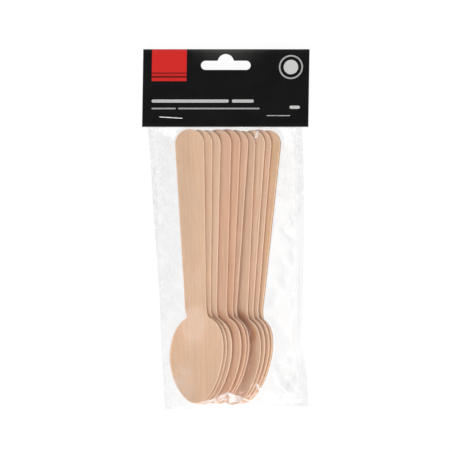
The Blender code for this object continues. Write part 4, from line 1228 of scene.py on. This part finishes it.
# -------------------------------------------------------------------- staples
def staple(name, mat):
    """Slightly flattened wire, bent square, with wedge-cut leg ends."""
    x, y, turn = STAPLES[name]
    half = FILM + FILM_GAP * 1.5 + CARD_THICK
    crown_z = CARD_MID_Z + half + 0.08 + STAPLE_WIRE / 2
    back_z = CARD_MID_Z - half - 0.08 - STAPLE_WIRE / 2
    reach = STAPLE_CROWN / 2 - STAPLE_WIRE / 2
    bend = 0.42
    right = [(reach * k / 6, crown_z) for k in range(1, 6)]
    for i in range(9):
        a = math.radians(90 - 90 * i / 8)
        right.append((reach - bend + bend * math.cos(a), crown_z - bend + bend * math.sin(a)))
    for i in range(9):
        a = math.radians(-90 * i / 8)
        right.append((reach - bend + bend * math.cos(a), back_z + bend + bend * math.sin(a)))
    for k in range(1, 6):
        right.append((reach - bend - (STAPLE_LEG_IN - bend) * k / 5, back_z - 0.04 * k / 5))
    path = [(-px, pz) for px, pz in reversed(right)] + [(0.0, crown_z)] + right
    path = np.array(path)
    sides = 16
    a = np.linspace(0, 2 * math.pi, sides, endpoint=False)
    ring_y = np.sign(np.cos(a)) * np.abs(np.cos(a)) ** 0.8 * STAPLE_WIRE / 2 * 1.06
    ring_n = np.sign(np.sin(a)) * np.abs(np.sin(a)) ** 0.8 * STAPLE_WIRE / 2 * 0.96
    points, faces = [], []
    m = len(path)
    for k in range(m):
        before, after = path[max(k - 1, 0)], path[min(k + 1, m - 1)]
        d = (after - before) / np.linalg.norm(after - before)
        normal = np.array([-d[1], d[0]])
        for j in range(sides):
            p = path[k] + normal * ring_n[j]
            if k in (0, m - 1):        # the wedge cut
                p = p + d * (0.22 if k == 0 else -0.22) * (ring_y[j] / STAPLE_WIRE * 2)
            points.append((p[0], ring_y[j], p[1]))
    for k in range(m - 1):
        for j in range(sides):
            n = (j + 1) % sides
            faces.append((k * sides + j, k * sides + n, (k + 1) * sides + n, (k + 1) * sides + j))
    faces.append(tuple(range(sides)))
    faces.append(tuple((m - 1) * sides + j for j in range(sides - 1, -1, -1)))
    own = np.array(points)
    turn = math.radians(turn)
    set_in = np.array([x + own[:, 0] * math.cos(turn) - own[:, 1] * math.sin(turn),
                       y + own[:, 0] * math.sin(turn) + own[:, 1] * math.cos(turn), own[:, 2]]).T
    mesh = mesh_from(name + "_wire", set_in, faces)
    bm = bmesh.new()
    bm.from_mesh(mesh)
    bmesh.ops.recalc_face_normals(bm, faces=bm.faces)
    bm.to_mesh(mesh)
    bm.free()
    give_own(mesh, own)
    mesh.shade_smooth()
    mesh.set_sharp_from_angle(angle=math.radians(50))
    return new_object(name + "_wire", mesh, [mat])


# ------------------------------------------------------------ light and camera
def softbox(name, place, width, height, radiance, colour=(1.0, 1.0, 1.0)):
    """A square of even light that looks at the pack's middle. Place and
    sizes are in metres."""
    lamp = bpy.data.lights.new(name, "AREA")
    lamp.shape = "RECTANGLE"
    lamp.size, lamp.size_y = width, height
    lamp.energy = radiance * math.pi * width * height
    lamp.color = colour
    obj = bpy.data.objects.new(name, lamp)
    bpy.context.scene.collection.objects.link(obj)
    at = Vector(place)
    obj.location = at
    obj.rotation_euler = (Vector((0.0, 0.0, 0.01)) - at).to_track_quat("-Z", "Y").to_euler()
    obj.visible_camera = False
    return obj


def world():
    """Pale all round, darker straight above."""
    made = bpy.data.worlds.new("studio")
    bpy.context.scene.world = made
    made.use_nodes = True
    nt = made.node_tree
    nt.nodes.clear()
    out = nt.nodes.new("ShaderNodeOutputWorld")
    back = nt.nodes.new("ShaderNodeBackground")
    place = nt.nodes.new("ShaderNodeTexCoord")
    parts = nt.nodes.new("ShaderNodeSeparateXYZ")
    shade = nt.nodes.new("ShaderNodeMapRange")
    shade.interpolation_type = "SMOOTHSTEP"
    for key, value in (("From Min", 0.55), ("From Max", 0.97), ("To Min", 0.90), ("To Max", 0.33)):
        shade.inputs[key].default_value = value
    nt.links.new(place.outputs["Generated"], parts.inputs[0])
    nt.links.new(parts.outputs[2], shade.inputs["Value"])
    nt.links.new(shade.outputs[0], back.inputs["Strength"])
    back.inputs["Color"].default_value = (1.0, 1.0, 1.0, 1.0)
    nt.links.new(back.outputs[0], out.inputs["Surface"])


def camera():
    """Straight above, far off, 230.5 mm across at the height of the pile."""
    data = bpy.data.cameras.new("camera")
    data.lens, data.sensor_width = 250.0, 36.0
    obj = bpy.data.objects.new("camera", data)
    bpy.context.scene.collection.objects.link(obj)
    distance = 0.2305 * data.lens / data.sensor_width
    obj.location = (0.0001, 0.00173, 0.008 + distance)
    obj.rotation_euler = (0.0, 0.0, 0.0)
    data.clip_start, data.clip_end = 0.05, 20.0
    bpy.context.scene.camera = obj


def floor():
    mesh = bpy.data.meshes.new("floor")
    size, low = 4.0, -0.00006
    mesh.from_pydata([(-size, -size, low), (size, -size, low), (size, size, low),
                      (-size, size, low)], [], [(0, 1, 2, 3)])
    obj = new_object("floor", mesh, [floor_material()])


# ----------------------------------------------------------------------- build
camera()
world()
softbox("key", (-0.30, -0.88, 0.98), 0.88, 0.88, 3.88)
softbox("low", (0.30, -1.03, 0.36), 0.60, 0.50, 3.7)
softbox("fill", (1.05, 0.05, 0.55), 1.2, 0.70, 1.25, (1.0, 0.93, 0.86))
floor()

poses = settle()
# Each spoon's mean colour, how much its grain shows, and how much it sways.
TONES = (
    ((0.690, 0.466, 0.318), 1.00, 5.0),
    ((0.690, 0.462, 0.315), 1.30, 4.0),
    ((0.722, 0.493, 0.342), 1.05, 4.0),
    ((0.689, 0.430, 0.284), 1.45, 6.0),
    ((0.677, 0.408, 0.262), 1.85, 3.5),
    ((0.690, 0.448, 0.308), 1.50, 5.0),
    ((0.705, 0.465, 0.320), 1.30, 6.0),
    ((0.718, 0.478, 0.324), 1.70, 4.0),
    ((0.718, 0.475, 0.325), 1.75, 5.0),
    ((0.716, 0.465, 0.291), 1.65, 4.5),
)
for index, pose in enumerate(poses):
    node = f"spoon_{index + 1:02d}"
    mean, grain, wave = TONES[index]
    light = tuple(c * (1 + 0.105 * grain * k) for c, k in zip(mean, (0.85, 1.0, 1.1)))
    dark = tuple(c * (1 - 0.125 * grain * k) for c, k in zip(mean, (0.85, 1.0, 1.1)))
    # How much painted shade each spoon gets at its shoulder from the spoon above; the top spoon gets none.
    shoulder_shade_amount = (0.0, 0.35, 0.35, 0.5, 0.45, 0.45, 1.0, 0.4, 0.4, 0.45)[index]
    mat = birch_material(f"birch_{index + 1:02d}", index + 1, light, dark, wave, shoulder_shade_amount)
    piece = fine_spoon(f"veneer_spoon_{index + 1:02d}", pose, mat, index)
    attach(piece, "root")
    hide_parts(node)

pouch = film_pouch(poses)
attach(pouch, "root")
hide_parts("film_bag")

card = header_card()
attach(card, "root")
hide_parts("header_card")

# Both staples are the same wire; the right one is painted darker, as painted shade.
for name, shade in zip(STAPLES, (0.96, 0.60)):
    piece = staple(name, steel_material(f"wire_of_{name}", shade))
    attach(piece, "root")
    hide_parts(name)

bpy.context.scene.view_settings.view_transform = "Standard"
